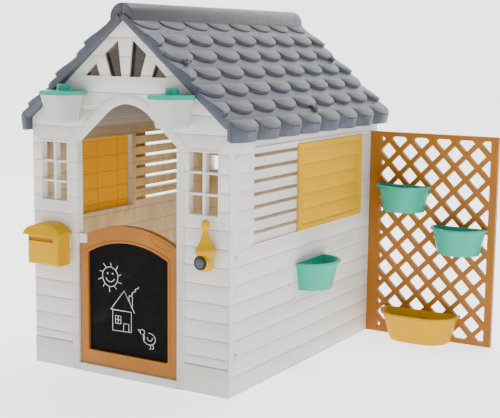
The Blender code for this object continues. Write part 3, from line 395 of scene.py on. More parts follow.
def strokes(name: str, lines: Sequence[Sequence[Vector]], radius: float) -> Item:
    """Thin round strokes that follow lines.

    Args:
        name: the object's name.
        lines: the points of each stroke.
        radius: half the stroke's width, in metres.
    Returns:
        One mesh object.
    """
    curve = bpy.data.curves.new(name, "CURVE")
    curve.dimensions = "3D"
    curve.bevel_depth = radius
    curve.bevel_resolution = 2
    curve.use_fill_caps = True
    for line in lines:
        spline = curve.splines.new("POLY")
        spline.points.add(len(line) - 1)
        for point, place in zip(spline.points, line):
            point.co = (*place, 1.0)
    holder = bpy.data.objects.new(name + "_line", curve)
    bpy.context.scene.collection.objects.link(holder)
    bpy.context.view_layer.update()
    mesh = bpy.data.meshes.new_from_object(holder.evaluated_get(bpy.context.evaluated_depsgraph_get()))
    bpy.data.objects.remove(holder)
    mesh.shade_smooth()
    item = bpy.data.objects.new(name, mesh)
    bpy.context.scene.collection.objects.link(item)
    return item


def boolean(item: Item, tool: Item, operation: str = "DIFFERENCE") -> Item:
    """Cut, join or intersect two meshes; the tool is removed.

    Args:
        item: the object that is changed.
        tool: the other object.
        operation: DIFFERENCE, UNION or INTERSECT.
    Returns:
        The changed object.
    """
    modifier = item.modifiers.new("combine", "BOOLEAN")
    modifier.operation = operation
    modifier.solver = "EXACT"
    modifier.object = tool
    bpy.context.view_layer.update()
    evaluated = item.evaluated_get(bpy.context.evaluated_depsgraph_get())
    mesh = bpy.data.meshes.new_from_object(evaluated)
    item.modifiers.clear()
    item.data = mesh
    bpy.data.objects.remove(tool)
    mesh.set_sharp_from_angle(angle=math.radians(35))
    return item


def turned_about(item: Item) -> None:
    """Turn a mesh half round about the middle of the house.

    Args:
        item: the object, in the house frame.
    """
    turn = Matrix.Rotation(math.pi, 4, "Z")
    item.data.transform(Matrix.Translation(HOUSE_MIDDLE) @ turn @ Matrix.Translation(-HOUSE_MIDDLE))


def soften(item: Item, width: float) -> None:
    """Round the edges of a frame piece that is shown as it is.

    Args:
        item: the piece.
        width: the rounding, in metres.
    """
    weld = item.modifiers.new("weld", "WELD")
    weld.merge_threshold = 0.00001
    bevel = item.modifiers.new("soft_edges", "BEVEL")
    bevel.width = width
    bevel.segments = 2
    bevel.limit_method = "ANGLE"
    bevel.angle_limit = math.radians(40)
    bevel.harden_normals = False


# ---- finishes ---------------------------------------------------------------------------------------
def linear(colour: str) -> tuple[float, float, float, float]:
    """Linear colour of an sRGB hex string.

    Args:
        colour: such as "#c0ffee".
    Returns:
        Red, green, blue and alpha.
    """
    parts = [int(colour[i:i + 2], 16) / 255 for i in (1, 3, 5)]
    values = [c / 12.92 if c <= 0.04045 else ((c + 0.055) / 1.055) ** 2.4 for c in parts]
    return (values[0], values[1], values[2], 1.0)


class Graph:
    """Small helper that adds and links shader nodes."""

    def __init__(self, name: str) -> None:
        """Start a material.

        Args:
            name: the material's name.
        """
        self.material = bpy.data.materials.new(name)
        self.material.use_nodes = True
        self.tree = self.material.node_tree
        self.shader = self.tree.nodes["Principled BSDF"]
        self.coordinates = self.add("ShaderNodeTexCoord").outputs["Object"]

    def add(self, kind: str, settings: dict | None = None, **inputs: object) -> bpy.types.ShaderNode:
        """Add a node.

        Args:
            kind: its type name.
            settings: attributes to set on it.
            inputs: input sockets, by name with _ for spaces, or i0, i1 ... by number.
        Returns:
            The node.
        """
        node = self.tree.nodes.new(kind)
        for key, value in (settings or {}).items():
            setattr(node, key, value)
        for key, value in inputs.items():
            numbered = key[0] == "i" and key[1:].isdigit()
            socket = node.inputs[int(key[1:])] if numbered else node.inputs[key.replace("_", " ")]
            if isinstance(value, Socket):
                self.tree.links.new(value, socket)
            else:
                socket.default_value = value
        return node

    def math(self, operation: str, a: object, b: object = 0.0, c: object = 0.0) -> Socket:
        """Add a math node."""
        return self.add("ShaderNodeMath", {"operation": operation}, i0=a, i1=b, i2=c).outputs[0]

    def noise(self, size_mm: float, detail: float = 4.0, stretch: tuple = (1, 1, 1)) -> Socket:
        """Noise whose features are about size_mm across.

        Args:
            size_mm: feature size, in millimetres.
            detail: number of octaves.
            stretch: how much longer the features are along each axis.
        Returns:
            Its value, about 0.5.
        """
        scale = [1000 / size_mm / s for s in stretch]
        moved = self.add("ShaderNodeMapping", Vector=self.coordinates, Scale=scale).outputs[0]
        return self.add("ShaderNodeTexNoise", Vector=moved, Scale=1.0, Detail=detail).outputs[0]

    def ramp(self, value: object, low: float, high: float, to_low: float = 0.0, to_high: float = 1.0) -> Socket:
        """Map a value from one range to another, with a smooth step.

        Args:
            value: the socket.
            low: where the result starts to change.
            high: where it stops.
            to_low: the result at low.
            to_high: the result at high.
        Returns:
            The mapped value.
        """
        node = self.add("ShaderNodeMapRange", {"interpolation_type": "SMOOTHSTEP"}, i0=value, i1=low,
                        i2=high, i3=to_low, i4=to_high)
        return node.outputs[0]

    def mix(self, factor: object, a: object, b: object) -> Socket:
        """Mix two colours.

        Args:
            factor: how much of b.
            a: first colour.
            b: second colour.
        Returns:
            The colour.
        """
        node = self.add("ShaderNodeMix", {"data_type": "RGBA"})
        for socket, value in ((node.inputs[0], factor), (node.inputs[6], a), (node.inputs[7], b)):
            if isinstance(value, Socket):
                self.tree.links.new(value, socket)
            else:
                socket.default_value = value
        return node.outputs[2]

    def axes(self) -> tuple[Socket, Socket, Socket]:
        """The house-frame coordinates of the shaded point.

        Returns:
            X, Y and Z sockets, in metres.
        """
        split = self.add("ShaderNodeSeparateXYZ", Vector=self.coordinates).outputs
        x = self.math("SUBTRACT", split[0], HOUSE_TO_FRAME.x)
        y = self.math("SUBTRACT", split[1], HOUSE_TO_FRAME.y)
        return x, y, split[2]

    def lines(self, value: Socket, start: float, pitch: float, width: float) -> Socket:
        """Narrow lines at a regular pitch.

        Args:
            value: coordinate that they cross.
            start: where one of them is.
            pitch: distance between them.
            width: their width.
        Returns:
            1 on a line and 0 beside it.
        """
        phase = self.math("DIVIDE", self.math("SUBTRACT", value, start), pitch)
        away = self.math("ABSOLUTE", self.math("SUBTRACT", phase, self.math("ROUND", phase)))
        return self.ramp(away, width / pitch / 4, width / pitch / 1.6, 1.0, 0.0)


class Plastic(NamedTuple):
    """A material and the record's slot that it shows."""

    material: bpy.types.Material
    slot: str

    def coat(self, item: Item) -> None:
        """Give an object the material.

        Args:
            item: the object.
        """
        item.data.materials.clear()
        item.data.materials.append(self.material)


@dataclass(frozen=True)
class Finish:
    """One moulded plastic, with its colour, sheen and surface grain."""

    name: str
    slot: str
    colour: str
    roughness: float
    grain_mm: float = 1.2
    grain_depth: float = 0.00006
    streaks: tuple[float, float, float] = (1.0, 1.0, 1.0)
    mottle: float = 0.06
    warm: str = "#000000"
    warm_share: float = 0.0
    # how much lighter sharp convex edges are made: a painted edge highlight
    edge_highlight: float = 0.10
    translucent: float = 0.0
    metallic: float = 0.0
    alpha: float = 1.0
    glow: float = 0.0
    dusty: float = 0.05
    sheen: float = 0.5
    extra: Callable[[Graph, Socket], tuple] | None = field(default=None)

    def build(self) -> Plastic:
        """Make the material.

        Returns:
            The material with its slot.
        """
        graph = Graph(self.name)
        base = linear(self.colour)
        broad = graph.noise(140, 3)
        middle = graph.noise(18, 5, self.streaks)
        fine = graph.noise(self.grain_mm, 3, self.streaks)
        dark = tuple(c * (1 - 2.2 * self.mottle) for c in base[:3]) + (1.0,)
        light = tuple(min(1.0, c * (1 + 1.6 * self.mottle)) for c in base[:3]) + (1.0,)
        colour = graph.mix(graph.ramp(broad, 0.3, 0.7), dark, light)
        colour = graph.mix(graph.ramp(middle, 0.35, 0.75, 0.0, 0.55), colour, base)
        if self.warm_share:
            share = graph.ramp(graph.noise(260, 2), 0.35, 0.75, 0.0, self.warm_share)
            colour = graph.mix(share, colour, linear(self.warm))
        height = graph.math("MULTIPLY", fine, self.grain_depth)
        if self.extra is not None:
            colour, more = self.extra(graph, colour)
            height = graph.math("ADD", height, more)
        z = graph.axes()[2]
        splash = graph.math("MULTIPLY", graph.ramp(z, 0.0, 0.12, 1.0, 0.0), graph.ramp(middle, 0.4, 0.7))
        colour = graph.mix(graph.math("MULTIPLY", splash, self.dusty * 4), colour, linear("#a39a8a"))
        # painted highlight: sharp convex edges are made lighter
        pointy = graph.add("ShaderNodeNewGeometry").outputs["Pointiness"]
        edge_shine = graph.ramp(pointy, 0.52, 0.60, 0.0, self.edge_highlight)
        colour = graph.mix(edge_shine, colour, tuple(min(1.0, c * 1.35 + 0.02) for c in base[:3]) + (1.0,))
        rough = graph.ramp(middle, 0.25, 0.8, self.roughness - 0.07, self.roughness + 0.08)
        bump = graph.add("ShaderNodeBump", Height=height, Distance=1.0, Strength=0.6).outputs[0]
        for socket, value in (("Base Color", colour), ("Roughness", rough), ("Normal", bump)):
            graph.tree.links.new(value, graph.shader.inputs[socket])
        values = {"IOR": 1.49, "Specular IOR Level": self.sheen, "Transmission Weight": self.translucent,
                  "Metallic": self.metallic, "Alpha": self.alpha, "Emission Strength": self.glow,
                  "Emission Color": (1.0, 1.0, 1.0, 1.0)}
        for socket, value in values.items():
            graph.shader.inputs[socket].default_value = value
        LOG.info("finish %s: %s", self.name, self.colour)
        return Plastic(graph.material, self.slot)


def wall_extra(graph: Graph, colour: Socket) -> tuple:
    """Painted warm shade (tan, darkening under the roof) on the inner faces, with moulded panel lines; painted
    shade in the siding's grooves and on the front's lower boards.

    Args:
        graph: the wall's shader.
        colour: the colour so far.
    Returns:
        The new colour and an extra surface height.
    """
    x, y, z = graph.axes()
    inside_x = graph.math("LESS_THAN", graph.math("ABSOLUTE", x), HALF - WALL + 0.0006)
    rim = graph.math("MULTIPLY_ADD", graph.math("GREATER_THAN", z, 0.99), 0.0045 - WALL, WALL - 0.0006)
    inside_y = graph.math("MULTIPLY", graph.math("GREATER_THAN", y, rim),
                          graph.math("LESS_THAN", y, graph.math("SUBTRACT", DEPTH, rim)))
    inside = graph.math("MULTIPLY", inside_x, inside_y)
    across = graph.lines(z, BOARD_START, BOARD_HEIGHT, 0.005)
    upright = graph.math("MAXIMUM", graph.lines(y, 0.075, 0.167, 0.004), graph.lines(x, 0.0, 0.156, 0.004))
    seams = graph.math("MULTIPLY", graph.math("MAXIMUM", across, upright), inside)
    # painted shade: the inner faces get a tan that stands for their warm shade, darkening to near black towards
    # the top, under the roof
    cloud = graph.ramp(graph.noise(60, 5, (1, 1, 3)), 0.3, 0.75)
    tan = graph.mix(cloud, linear("#a3875a"), linear("#c2a776"))
    tan = graph.mix(graph.ramp(z, 0.72, 0.93, 0.0, 0.94), tan, linear("#1d150d"))
    colour = graph.mix(inside, colour, tan)
    colour = graph.mix(graph.math("MULTIPLY", seams, 0.5), colour, linear("#6e5a3c"))
    # painted shade along the siding's board joints
    groove = graph.math("MULTIPLY", across, graph.math("SUBTRACT", 1.0, inside))
    colour = graph.mix(graph.math("MULTIPLY", groove, 0.28), colour, linear("#8d8a84"))
    # painted shade: the front face darkens towards the bottom
    front = graph.math("MULTIPLY", graph.math("LESS_THAN", y, 0.0004), graph.ramp(z, 0.05, 0.80, 0.30, 0.0))
    colour = graph.mix(front, colour, linear("#8f857b"))
    return colour, graph.math("MULTIPLY", seams, -0.0012)


def roof_extra(graph: Graph, colour: Socket) -> tuple:
    """Painted warm shade (tan, darkening under the ridge) on the underside, painted shade on the upright faces,
    and fine grooves that run down the tiles.

    Args:
        graph: the roof's shader.
        colour: the colour so far.
    Returns:
        The new colour and an extra surface height.
    """
    x, y, z = graph.axes()
    over = graph.math("MULTIPLY_ADD", graph.math("ABSOLUTE", x), TAN, z)
    under = graph.math("LESS_THAN", over, ROOF_PEAK + 0.0006)
    within = graph.math("LESS_THAN", graph.math("ABSOLUTE", x), HALF - WALL)
    from_middle = graph.math("ABSOLUTE", graph.math("SUBTRACT", y, DEPTH / 2))
    middle = graph.math("LESS_THAN", from_middle, DEPTH / 2 - WALL)
    inside = graph.math("MULTIPLY", graph.math("MULTIPLY", under, within), middle)
    # painted shade: the underside gets a tan that stands for its warm shade, darkening to near black towards
    # the ridge
    tan = graph.mix(graph.ramp(graph.noise(80, 4), 0.3, 0.7), linear("#6b5636"), linear("#8f7747"))
    tan = graph.mix(graph.ramp(z, 0.84, 0.96, 0.0, 0.97), tan, linear("#0b0807"))
    seams = graph.math("MULTIPLY", graph.lines(y, 0.0, 0.0755, 0.005), inside)
    colour = graph.mix(inside, colour, tan)
    colour = graph.mix(graph.math("MULTIPLY", seams, 0.6), colour, linear("#5c4a30"))
    # painted shade: faces that stand upright below the ridge, such as tile risers and the skirt, are made a
    # darker blue-grey
    facing = graph.add("ShaderNodeSeparateXYZ", Vector=graph.add("ShaderNodeNewGeometry").outputs["Normal"])
    flat = graph.ramp(facing.outputs[2], 0.45, 0.80)
    upright = graph.mix(graph.ramp(graph.noise(30, 4), 0.3, 0.7), linear("#434753"), linear("#4e5464"))
    outside = graph.math("SUBTRACT", 1.0, inside)
    below = graph.math("LESS_THAN", z, 1.20)
    share = graph.math("MULTIPLY", graph.math("SUBTRACT", 1.0, flat), graph.math("MULTIPLY", outside, below))
    share = graph.math("MULTIPLY", share, 0.85)
    colour = graph.mix(share, colour, upright)
    scratch = graph.noise(2.2, 3, (9, 1, 9))
    return colour, graph.math("MULTIPLY", scratch, 0.00012)


def shutter_extra(graph: Graph, colour: Socket) -> tuple:
    """Moulded rib lines on the shutters' hidden side, which is also given a painted shade of darker orange.

    Args:
        graph: the shutter's shader.
        colour: the colour so far.
    Returns:
        The new colour and an extra surface height.
    """
    x, y, z = graph.axes()
    back = graph.math("LESS_THAN", graph.math("ABSOLUTE", x), HALF + 0.0008)
    flip = graph.math("LESS_THAN", x, 0.0)
    place = graph.math("ABSOLUTE", graph.math("SUBTRACT", graph.math("MULTIPLY", flip, DEPTH), y))
    across, upright = graph.lines(z, 0.545, BOARD_HEIGHT, 0.0035), graph.lines(place, 0.520, 0.130, 0.0045)
    ribs = graph.math("MULTIPLY", graph.math("MAXIMUM", across, upright), back)
    # painted shade: the hidden side is made a darker orange
    colour = graph.mix(graph.math("MULTIPLY", back, 0.55), colour, linear("#c97a02"))
    colour = graph.mix(graph.math("MULTIPLY", ribs, 0.6), colour, linear("#7a5206"))
    return colour, graph.math("MULTIPLY", ribs, -0.001)


def board_extra(graph: Graph, colour: Socket) -> tuple:
    """Chalk dust rubbed into a writing surface.

    Args:
        graph: the chalkboard's shader.
        colour: the colour so far.
    Returns:
        The new colour and an extra surface height.
    """
    rubbed = graph.noise(70, 6, (2.2, 1, 1))
    speck = graph.ramp(graph.noise(1.6, 2), 0.5, 0.75)
    dust = graph.math("MULTIPLY", graph.ramp(rubbed, 0.5, 0.85, 0.0, 0.04), graph.math("ADD", speck, 0.25))
    return graph.mix(dust, colour, linear("#b9b6ae")), graph.math("MULTIPLY", speck, 0.00003)


FINISHES = dict(
    # blow-moulded polypropylene with a fine spark-eroded grain
    wall=Finish("polypropylene_warm_white", "wall_plastic", "#d6d3cf", 0.50, mottle=0.02, warm="#c3bab1",
                warm_share=0.5, edge_highlight=0.25, extra=wall_extra),
    # the same plastic in slate, with a leather grain on the tiles
    roof=Finish("polypropylene_slate", "roof_plastic", "#44464c", 0.40, 1.6, 0.00012, warm="#404147",
                warm_share=0.6, edge_highlight=0.5, sheen=0.28, extra=roof_extra),
    # injection-moulded trim with a satin sheen
    yellow=Finish("polypropylene_mustard", "yellow_plastic", "#cf9b00", 0.42, mottle=0.03,
                  warm="#c08a00", warm_share=0.4, sheen=0.06, dusty=0.0),
    shutter=Finish("polypropylene_mustard_sheet", "yellow_plastic", "#d19f00", 0.46, mottle=0.03,
                   warm="#c49000", warm_share=0.4, sheen=0.06, dusty=0.0, extra=shutter_extra),
    brown=Finish("polypropylene_caramel", "brown_plastic", "#9c621c", 0.42, 1.4, 0.00008, (1, 1, 2.5), 0.05,
                 "#8b5617", 0.5, 0.25, sheen=0.2, dusty=0.0),
    turquoise=Finish("polypropylene_turquoise", "turquoise_plastic", "#25a48b", 0.34, mottle=0.03,
                     warm="#1f9882", warm_share=0.4, edge_highlight=0.15, sheen=0.22, dusty=0.0),
    # matt writing panel, and what is drawn on it
    board=Finish("chalkboard_panel", "chalkboard_plastic", "#060505", 0.80, 1.0, 0.00004, mottle=0.1,
                 edge_highlight=0.0, dusty=0.0, sheen=0.12, extra=board_extra),
    chalk=Finish("white_chalk", "chalkboard_plastic", "#f2f0ea", 0.95, 0.7, 0.0003, mottle=0.08),
    # painted shade: a darker copy of the trim's plastic, for where it lies in shade
    amber=Finish("polypropylene_mustard_shade", "yellow_plastic", "#a86a05", 0.5, mottle=0.05, dusty=0.0,
                 sheen=0.1),
    # thin frosted polypropylene shell
    frosted=Finish("frosted_polypropylene", "frosted_plastic", "#e8eae7", 0.42, 1.0, 0.00005, mottle=0.02,
                   translucent=0.55, alpha=0.62),
    # dark trim with a soft gloss
    slate=Finish("polypropylene_slate_blue", "button_plastic", "#41444f", 0.38, mottle=0.05, sheen=0.35),
    black=Finish("polypropylene_black", "button_plastic", "#0e0e10", 0.40, mottle=0.05, sheen=0.3),
    # blackened steel screws of the roof
    steel=Finish("blackened_steel_screw", "roof_plastic", "#1c1d20", 0.35, 0.6, 0.00005, mottle=0.1,
                 metallic=0.7),
    # studio paper, lit a little from behind
    paper=Finish("studio_paper", "", "#f4f3f1", 0.9, 3.0, 0.00002, mottle=0.004, dusty=0.0, edge_highlight=0.0,
                 glow=1.9),
)


class Palette:
    """Every finish of the playhouse, built, under its short name."""

    def __init__(self) -> None:
        """Make the materials."""
        for key, finish in FINISHES.items():
            setattr(self, key, finish.build())


def place(item: Item, plastic: Plastic, body: str = "house", replaces: str = "",
          turned: bool = False) -> None:
    """Move a finished mesh from the house frame to the shared frame, and hang it on its body.

    Args:
        item: the object.
        plastic: what it is made of.
        body: the body it rides on.
        replaces: the frame piece it stands for.
        turned: whether it goes to the opposite side of the house.
    """
    if turned:
        turned_about(item)
    item.data.transform(Matrix.Translation(HOUSE_TO_FRAME))
    plastic.coat(item)
    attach(item, body)
    if replaces:
        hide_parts(replaces)
    LOG.info("piece %s on %s: %d faces", item.name, body, len(item.data.polygons))


def dress(nodes: Sequence[str], plastic: Plastic, soft: float = 0.0) -> None:
    """Give frame pieces a material and soft edges.

    Args:
        nodes: their names.
        plastic: what they are made of.
        soft: rounding of their edges, in metres.
    """
    for node in nodes:
        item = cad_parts[node]
        plastic.coat(item)
        if soft:
            soften(item, soft)
        LOG.info("frame piece %s: %s", node, plastic.material.name)


# ---- walls ------------------------------------------------------------------------------------------
@dataclass
class Wall:
    """A wall of the house, which is drawn once and turned about for its twin."""

    name: str
    palette: Palette
    as_drawn: bool

    def put(self, item: Item) -> None:
        """Place one piece on the house."""
        place(item, self.palette.wall, turned=not self.as_drawn)


@dataclass
class GableWall(Wall):
    """Siding boards, trims and plinths of a gable wall, drawn for the front one."""

    proud: float = 0.0028
    trim: float = 0.0048
    window_low: float = 0.615
    window_high: float = 0.823
    window_width: float = 0.114
    window_edge: float = 0.045
    border: float = 0.009
    door_trim: float = 0.031

    def windows(self, grow: float) -> list[Loop]:
        """Outlines of the two windows.

        Args:
            grow: how much larger than the opening.
        Returns:
            The two outlines.
        """
        loops = []
        for left in (-HALF + self.window_edge, HALF - self.window_edge - self.window_width):
            loops.append(rectangle((left - grow, self.window_low - grow),
                                   (left + self.window_width + grow, self.window_high + grow)))
        return loops

    def vents(self) -> list[Loop]:
        """Outlines of the four vents in the gable.

        Returns:
            The outlines.
        """
        quad = ((0.016, 0.0), (0.030, 0.125), (0.088, 0.077), (0.063, 0.0))
        triangle = ((0.108, 0.0), (0.124, 0.047), (0.173, 0.0))
        return [[(s * x, 1.062 + z) for x, z in shape] for shape in (quad, triangle) for s in (-1, 1)]

    def siding(self) -> Item:
        """Horizontal boards with rounded edges, cut away round every opening.

        Returns:
            The object.
        """
        shape = bmesh.new()
        gap = 0.0011
        edge = HALF - 0.0035
        low = 0.100
        while low < ROOF_PEAK:
            step = (low - BOARD_START) / BOARD_HEIGHT
            high = BOARD_START + (math.floor(step + 1e-6) + 1) * BOARD_HEIGHT
            board = prism_bmesh(rectangle((-edge, low + gap / 2), (edge, high - gap / 2)), Plane.XZ,
                                -self.proud, 0.002)
            bevel_sharp(board, 0.0016, 2)
            append(shape, board)
            low = high
        siding = make_object(f"{self.name}_siding", shape)
        gable = [(-HALF, 0.0), (HALF, 0.0), (HALF, roof_under(HALF) - 0.002), (0.0, ROOF_PEAK - 0.002),
                 (-HALF, roof_under(HALF) - 0.002)]
        boolean(siding, prism("gable", gable, Plane.XZ, -0.02, 0.02), "INTERSECT")
        cuts = self.windows(self.border - 0.001) + self.vents()
        if self.as_drawn:
            cuts.append(doorway(self.door_trim - 0.002, -0.01))
        for loop in cuts:
            boolean(siding, prism("opening", loop, Plane.XZ, -0.03, 0.03))
        return siding

    def build(self) -> None:
        """Make every piece of the wall."""
        dress([f"{self.name}_wall"], self.palette.wall)
        self.put(self.siding())
        for side, outer, inner in zip(("left", "right"), self.windows(self.border), self.windows(0.0)):
            label = f"{self.name}_window_trim_{side}"
            self.put(band(label, outer, inner, Plane.XZ, -self.trim, 0.001, 0.0018))
        for side, direction in (("left", -1), ("right", 1)):
            low, high = sorted((direction * 0.2415, direction * (HALF - 0.0005)))
            if not self.as_drawn:
                if direction > 0:
                    continue
                low, high = -HALF + 0.0005, HALF - 0.0005
            plinth = rectangle((low, 0.001), (high, 0.098))
            self.put(prism(f"{self.name}_plinth_{side}", plinth, Plane.XZ, -0.006, 0.001, 0.003))
        if self.as_drawn:
            outer, inner = doorway(self.door_trim, 0.001), doorway(0.0, 0.001)
            self.put(band("doorway_trim", outer[1:] + outer[:1], inner[1:] + inner[:1], Plane.XZ,
                          -0.0055, 0.0005, 0.0022))
            cover = rectangle((-DOORWAY_HALF, 0.0012), (DOORWAY_HALF, 0.0296))
            self.put(prism("threshold_bar", cover, Plane.XZ, -0.006, 0.002, 0.002))


@dataclass
class SideWall(Wall):
    """Boards of a side wall, drawn for the right-hand one."""

    def build(self) -> None:
        """Make every piece of the wall."""
        dress([f"{self.name}_side_wall"], self.palette.wall)
        shape = bmesh.new()
        low = 0.008
        tops = [BOARD_START + i * BOARD_HEIGHT for i in range(-1, 6)] + [0.494]
        for top in tops:
            board = prism_bmesh(rectangle((0.030, low + 0.0005), (DEPTH - 0.030, top - 0.0005)), Plane.YZ,
                                HALF - 0.002, HALF + 0.0016)
            bevel_sharp(board, 0.0012, 2)
            append(shape, board)
            low = top
        boards = make_object(f"{self.name}_wall_boards", shape)
        for y in (0.042, DEPTH - 0.042):
            for z in (0.134, 0.470):
                boolean(boards, rod("clear", Vector((0.40, y, z)), Vector((0.44, y, z)), 0.0135, 24))
        if self.as_drawn:
            boolean(boards, prism("clear", rectangle((0.44, 0.24), (0.70, 0.40)), Plane.YZ, 0.41, 0.43))
            boolean(boards, prism("clear", rectangle((1.085, -0.01), (1.111, 0.80)), Plane.YZ, 0.41, 0.43))
        self.put(boards)
        low = 0.503
        for index in range(6):
            top = min(low + BOARD_HEIGHT, 0.870)
            strip = rectangle((0.060, low + 0.0006), (0.149, top - 0.0006))
            label = f"{self.name}_corner_board_{index}"
            self.put(prism(label, strip, Plane.YZ, HALF - 0.002, HALF + 0.0012, 0.001))
            low = top


# ---- roof -------------------------------------------------------------------------------------------
@dataclass
class RoofPanel:
    """Half of the roof: rows of fish-scale tiles, skirt, stepped end edges, screws and half the ridge."""

    palette: Palette
    side: str
    rows: int = 7
    tiles: int = 8
    first: float = 0.042
    lobe: float = 0.050
    thick: float = 0.015
    low: float = 0.019
    high: float = 0.037
    start: float = -0.030
    end: float = DEPTH + 0.030
    eave: float = (HALF - 0.001) / COS
    lobe_steps: int = 20
    bolts: tuple = ((0.530, 0.042, 0.0235), (0.530, DEPTH / 2, 0.0375), (0.530, DEPTH - 0.042, 0.0235),
                    (0.262, 0.034, 0.0365), (0.262, DEPTH - 0.034, 0.0365))

    @property
    def row_pitch(self) -> float:
        """Distance between rows."""
        return (self.eave - self.first) / (self.rows - 1)

    @property
    def tilt(self) -> float:
        """How much the tiles tip up from the roof's slope."""
        return math.atan((self.high - self.low) / (self.row_pitch + self.lobe))

    def lobes(self, row: int, shrink: float = 0.0) -> list[Loop]:
        """Rounded ends of a row's tiles.

        Args:
            row: its number, from the ridge.
            shrink: how much narrower and shorter each is.
        Returns:
            One (distance down the slope, y) outline for each tile, from front to back.
        """
        u = self.first + row * self.row_pitch
        pitch = (self.end - self.start) / self.tiles
        offset = 0.0 if (self.rows - 1 - row) % 2 == 0 else -pitch / 2
        outlines = []
        for tile in range(self.tiles + (1 if offset else 0)):
            middle = self.start + offset + (tile + 0.5) * pitch
            half = pitch / 2 - 0.0042 - shrink
            points: Loop = [(u - 0.010, max(self.start, middle - half))]
            for step in range(self.lobe_steps + 1):
                angle = math.pi * step / self.lobe_steps
                y = min(self.end, max(self.start, middle - half * math.cos(angle)))
                point = (u + (self.lobe - shrink) * math.sin(angle) ** 0.95, y)
                if math.dist(points[-1], point) > 1e-4:
                    points.append(point)
            points.append((u - 0.010, min(self.end, middle + half)))
            outlines.append(points)
        return outlines

    def row(self, row: int) -> Item:
        """One row of tiles: a flat strip, and a raised rounded tongue for each tile.

        Args:
            row: its number, from the ridge.
        Returns:
            The object.
        """
        upper = max(self.first + (row - 1) * self.row_pitch, 0.008)
        notch = self.first + row * self.row_pitch
        shape = prism_bmesh(rectangle((0.0, self.start), (notch - upper, self.end)), Plane.XY, -0.012, 0.0)
        bevel_sharp(shape, 0.0012, 2)
        for outline in self.lobes(row):
            tongue = prism_bmesh([(u - upper, y) for u, y in outline], Plane.XY, -self.thick, 0.0012)
            rim = [e for e in tongue.edges if all(v.co.z > 0.001 for v in e.verts)]
            round_edges(tongue, rim, 0.0026, 3)
            append(shape, tongue)
        for outline in self.lobes(row, 0.0085):
            pad = prism_bmesh([(u - upper, y) for u, y in outline[1:-1]], Plane.XY, 0.0, 0.0020)
            rim = [e for e in pad.edges if all(v.co.z > 0.0015 for v in e.verts)]
            round_edges(pad, rim, 0.0007, 2)
            append(shape, pad)
        turn = Matrix.Rotation(PITCH - self.tilt, 4, "Y")
        place_at = Matrix.Translation(roof_point(upper, self.low, 0.0))
        bmesh.ops.transform(shape, matrix=place_at @ turn, verts=shape.verts)
        return make_object(f"roof_{self.side}_tiles_{row + 1}", shape)

    def cup(self, index: int) -> list[Item]:
        """Raised ring round a roof screw, and the dark socket in it.

        Args:
            index: the screw's number.
        Returns:
            The ring and the socket.
        """
        u, y, n = self.bolts[index]
        label = f"roof_{self.side}_screw_{index + 1}"

        def bar(name: str, low: float, high: float, radius: float, *more: float) -> Item:
            """A rod along the screw's axis, between two heights above its seat."""
            return rod(name, roof_point(u, n + low, y), roof_point(u, n + high, y), radius, *more)

        ring = bar(f"{label}_ring", -0.012, 0.0035, 0.0128, 32, 0.0014)
        boolean(ring, bar("core", 0.0005, 0.01, 0.0088, 28))
        return [ring, bar(f"{label}_socket", -0.002, 0.0017, 0.0080, 24, 0.0006)]

    def skirt(self) -> Item:
        """Upright edge under the eave tiles, drawn in towards its foot.

        Returns:
            The object.
        """
        tilt = PITCH - self.tilt
        upper = self.eave - self.row_pitch
        start = roof_point(upper, self.low, 0.0)
        tip = start.z - (self.eave + self.lobe - upper) * math.sin(tilt)
        foot, draft = tip - 0.041, 0.008
        back = start.x + (self.eave - upper) * math.cos(tilt)
        loops = [[(start.x + (u - upper) * math.cos(tilt), y) for u, y in outline]
                 for outline in self.lobes(self.rows - 1)]
        loops.append(rectangle((HALF + 0.004, self.start), (back, self.end)))
        shape = bmesh.new()
        for loop in loops:
            lobe = prism_bmesh(loop, Plane.XY, foot + (0.004 if loop is loops[-1] else 0.0), start.z)
            for vert in lobe.verts:
                if vert.co.z > foot + 0.005:
                    vert.co.z = start.z - 0.006 - (vert.co.x - start.x) * math.tan(tilt)
                else:
                    vert.co.x -= draft * min(1.0, max(0.0, (vert.co.x - back) / 0.03))
            bevel_sharp(lobe, 0.0016, 2, 50)
            append(shape, lobe)
        return make_object(f"roof_{self.side}_skirt", shape)

    def barge(self, name: str, y: Point2) -> Item:
        """Stepped upright edge that closes the gaps under the tiles at one end.

        Args:
            name: the object's name.
            y: its two depths.
        Returns:
            The object.
        """
        rise = math.tan(self.tilt)
        reached = 0.001
        profile: Loop = []
        for row in range(self.rows):
            upper = max(self.first + (row - 1) * self.row_pitch, 0.008)
            end = self.first + row * self.row_pitch - 0.001
            if (self.rows - 1 - row) % 2:
                end += self.lobe
            profile += [(u, self.low - 0.0006 + (u - upper) * rise) for u in (reached, end)]
            reached = end
        profile += [(reached, -0.001), (0.001, -0.001)]
        corners = [roof_point(u, n, 0.0) for u, n in profile]
        return prism(name, [(p.x, p.z) for p in corners], Plane.XZ, y[0], y[1], 0.0012)

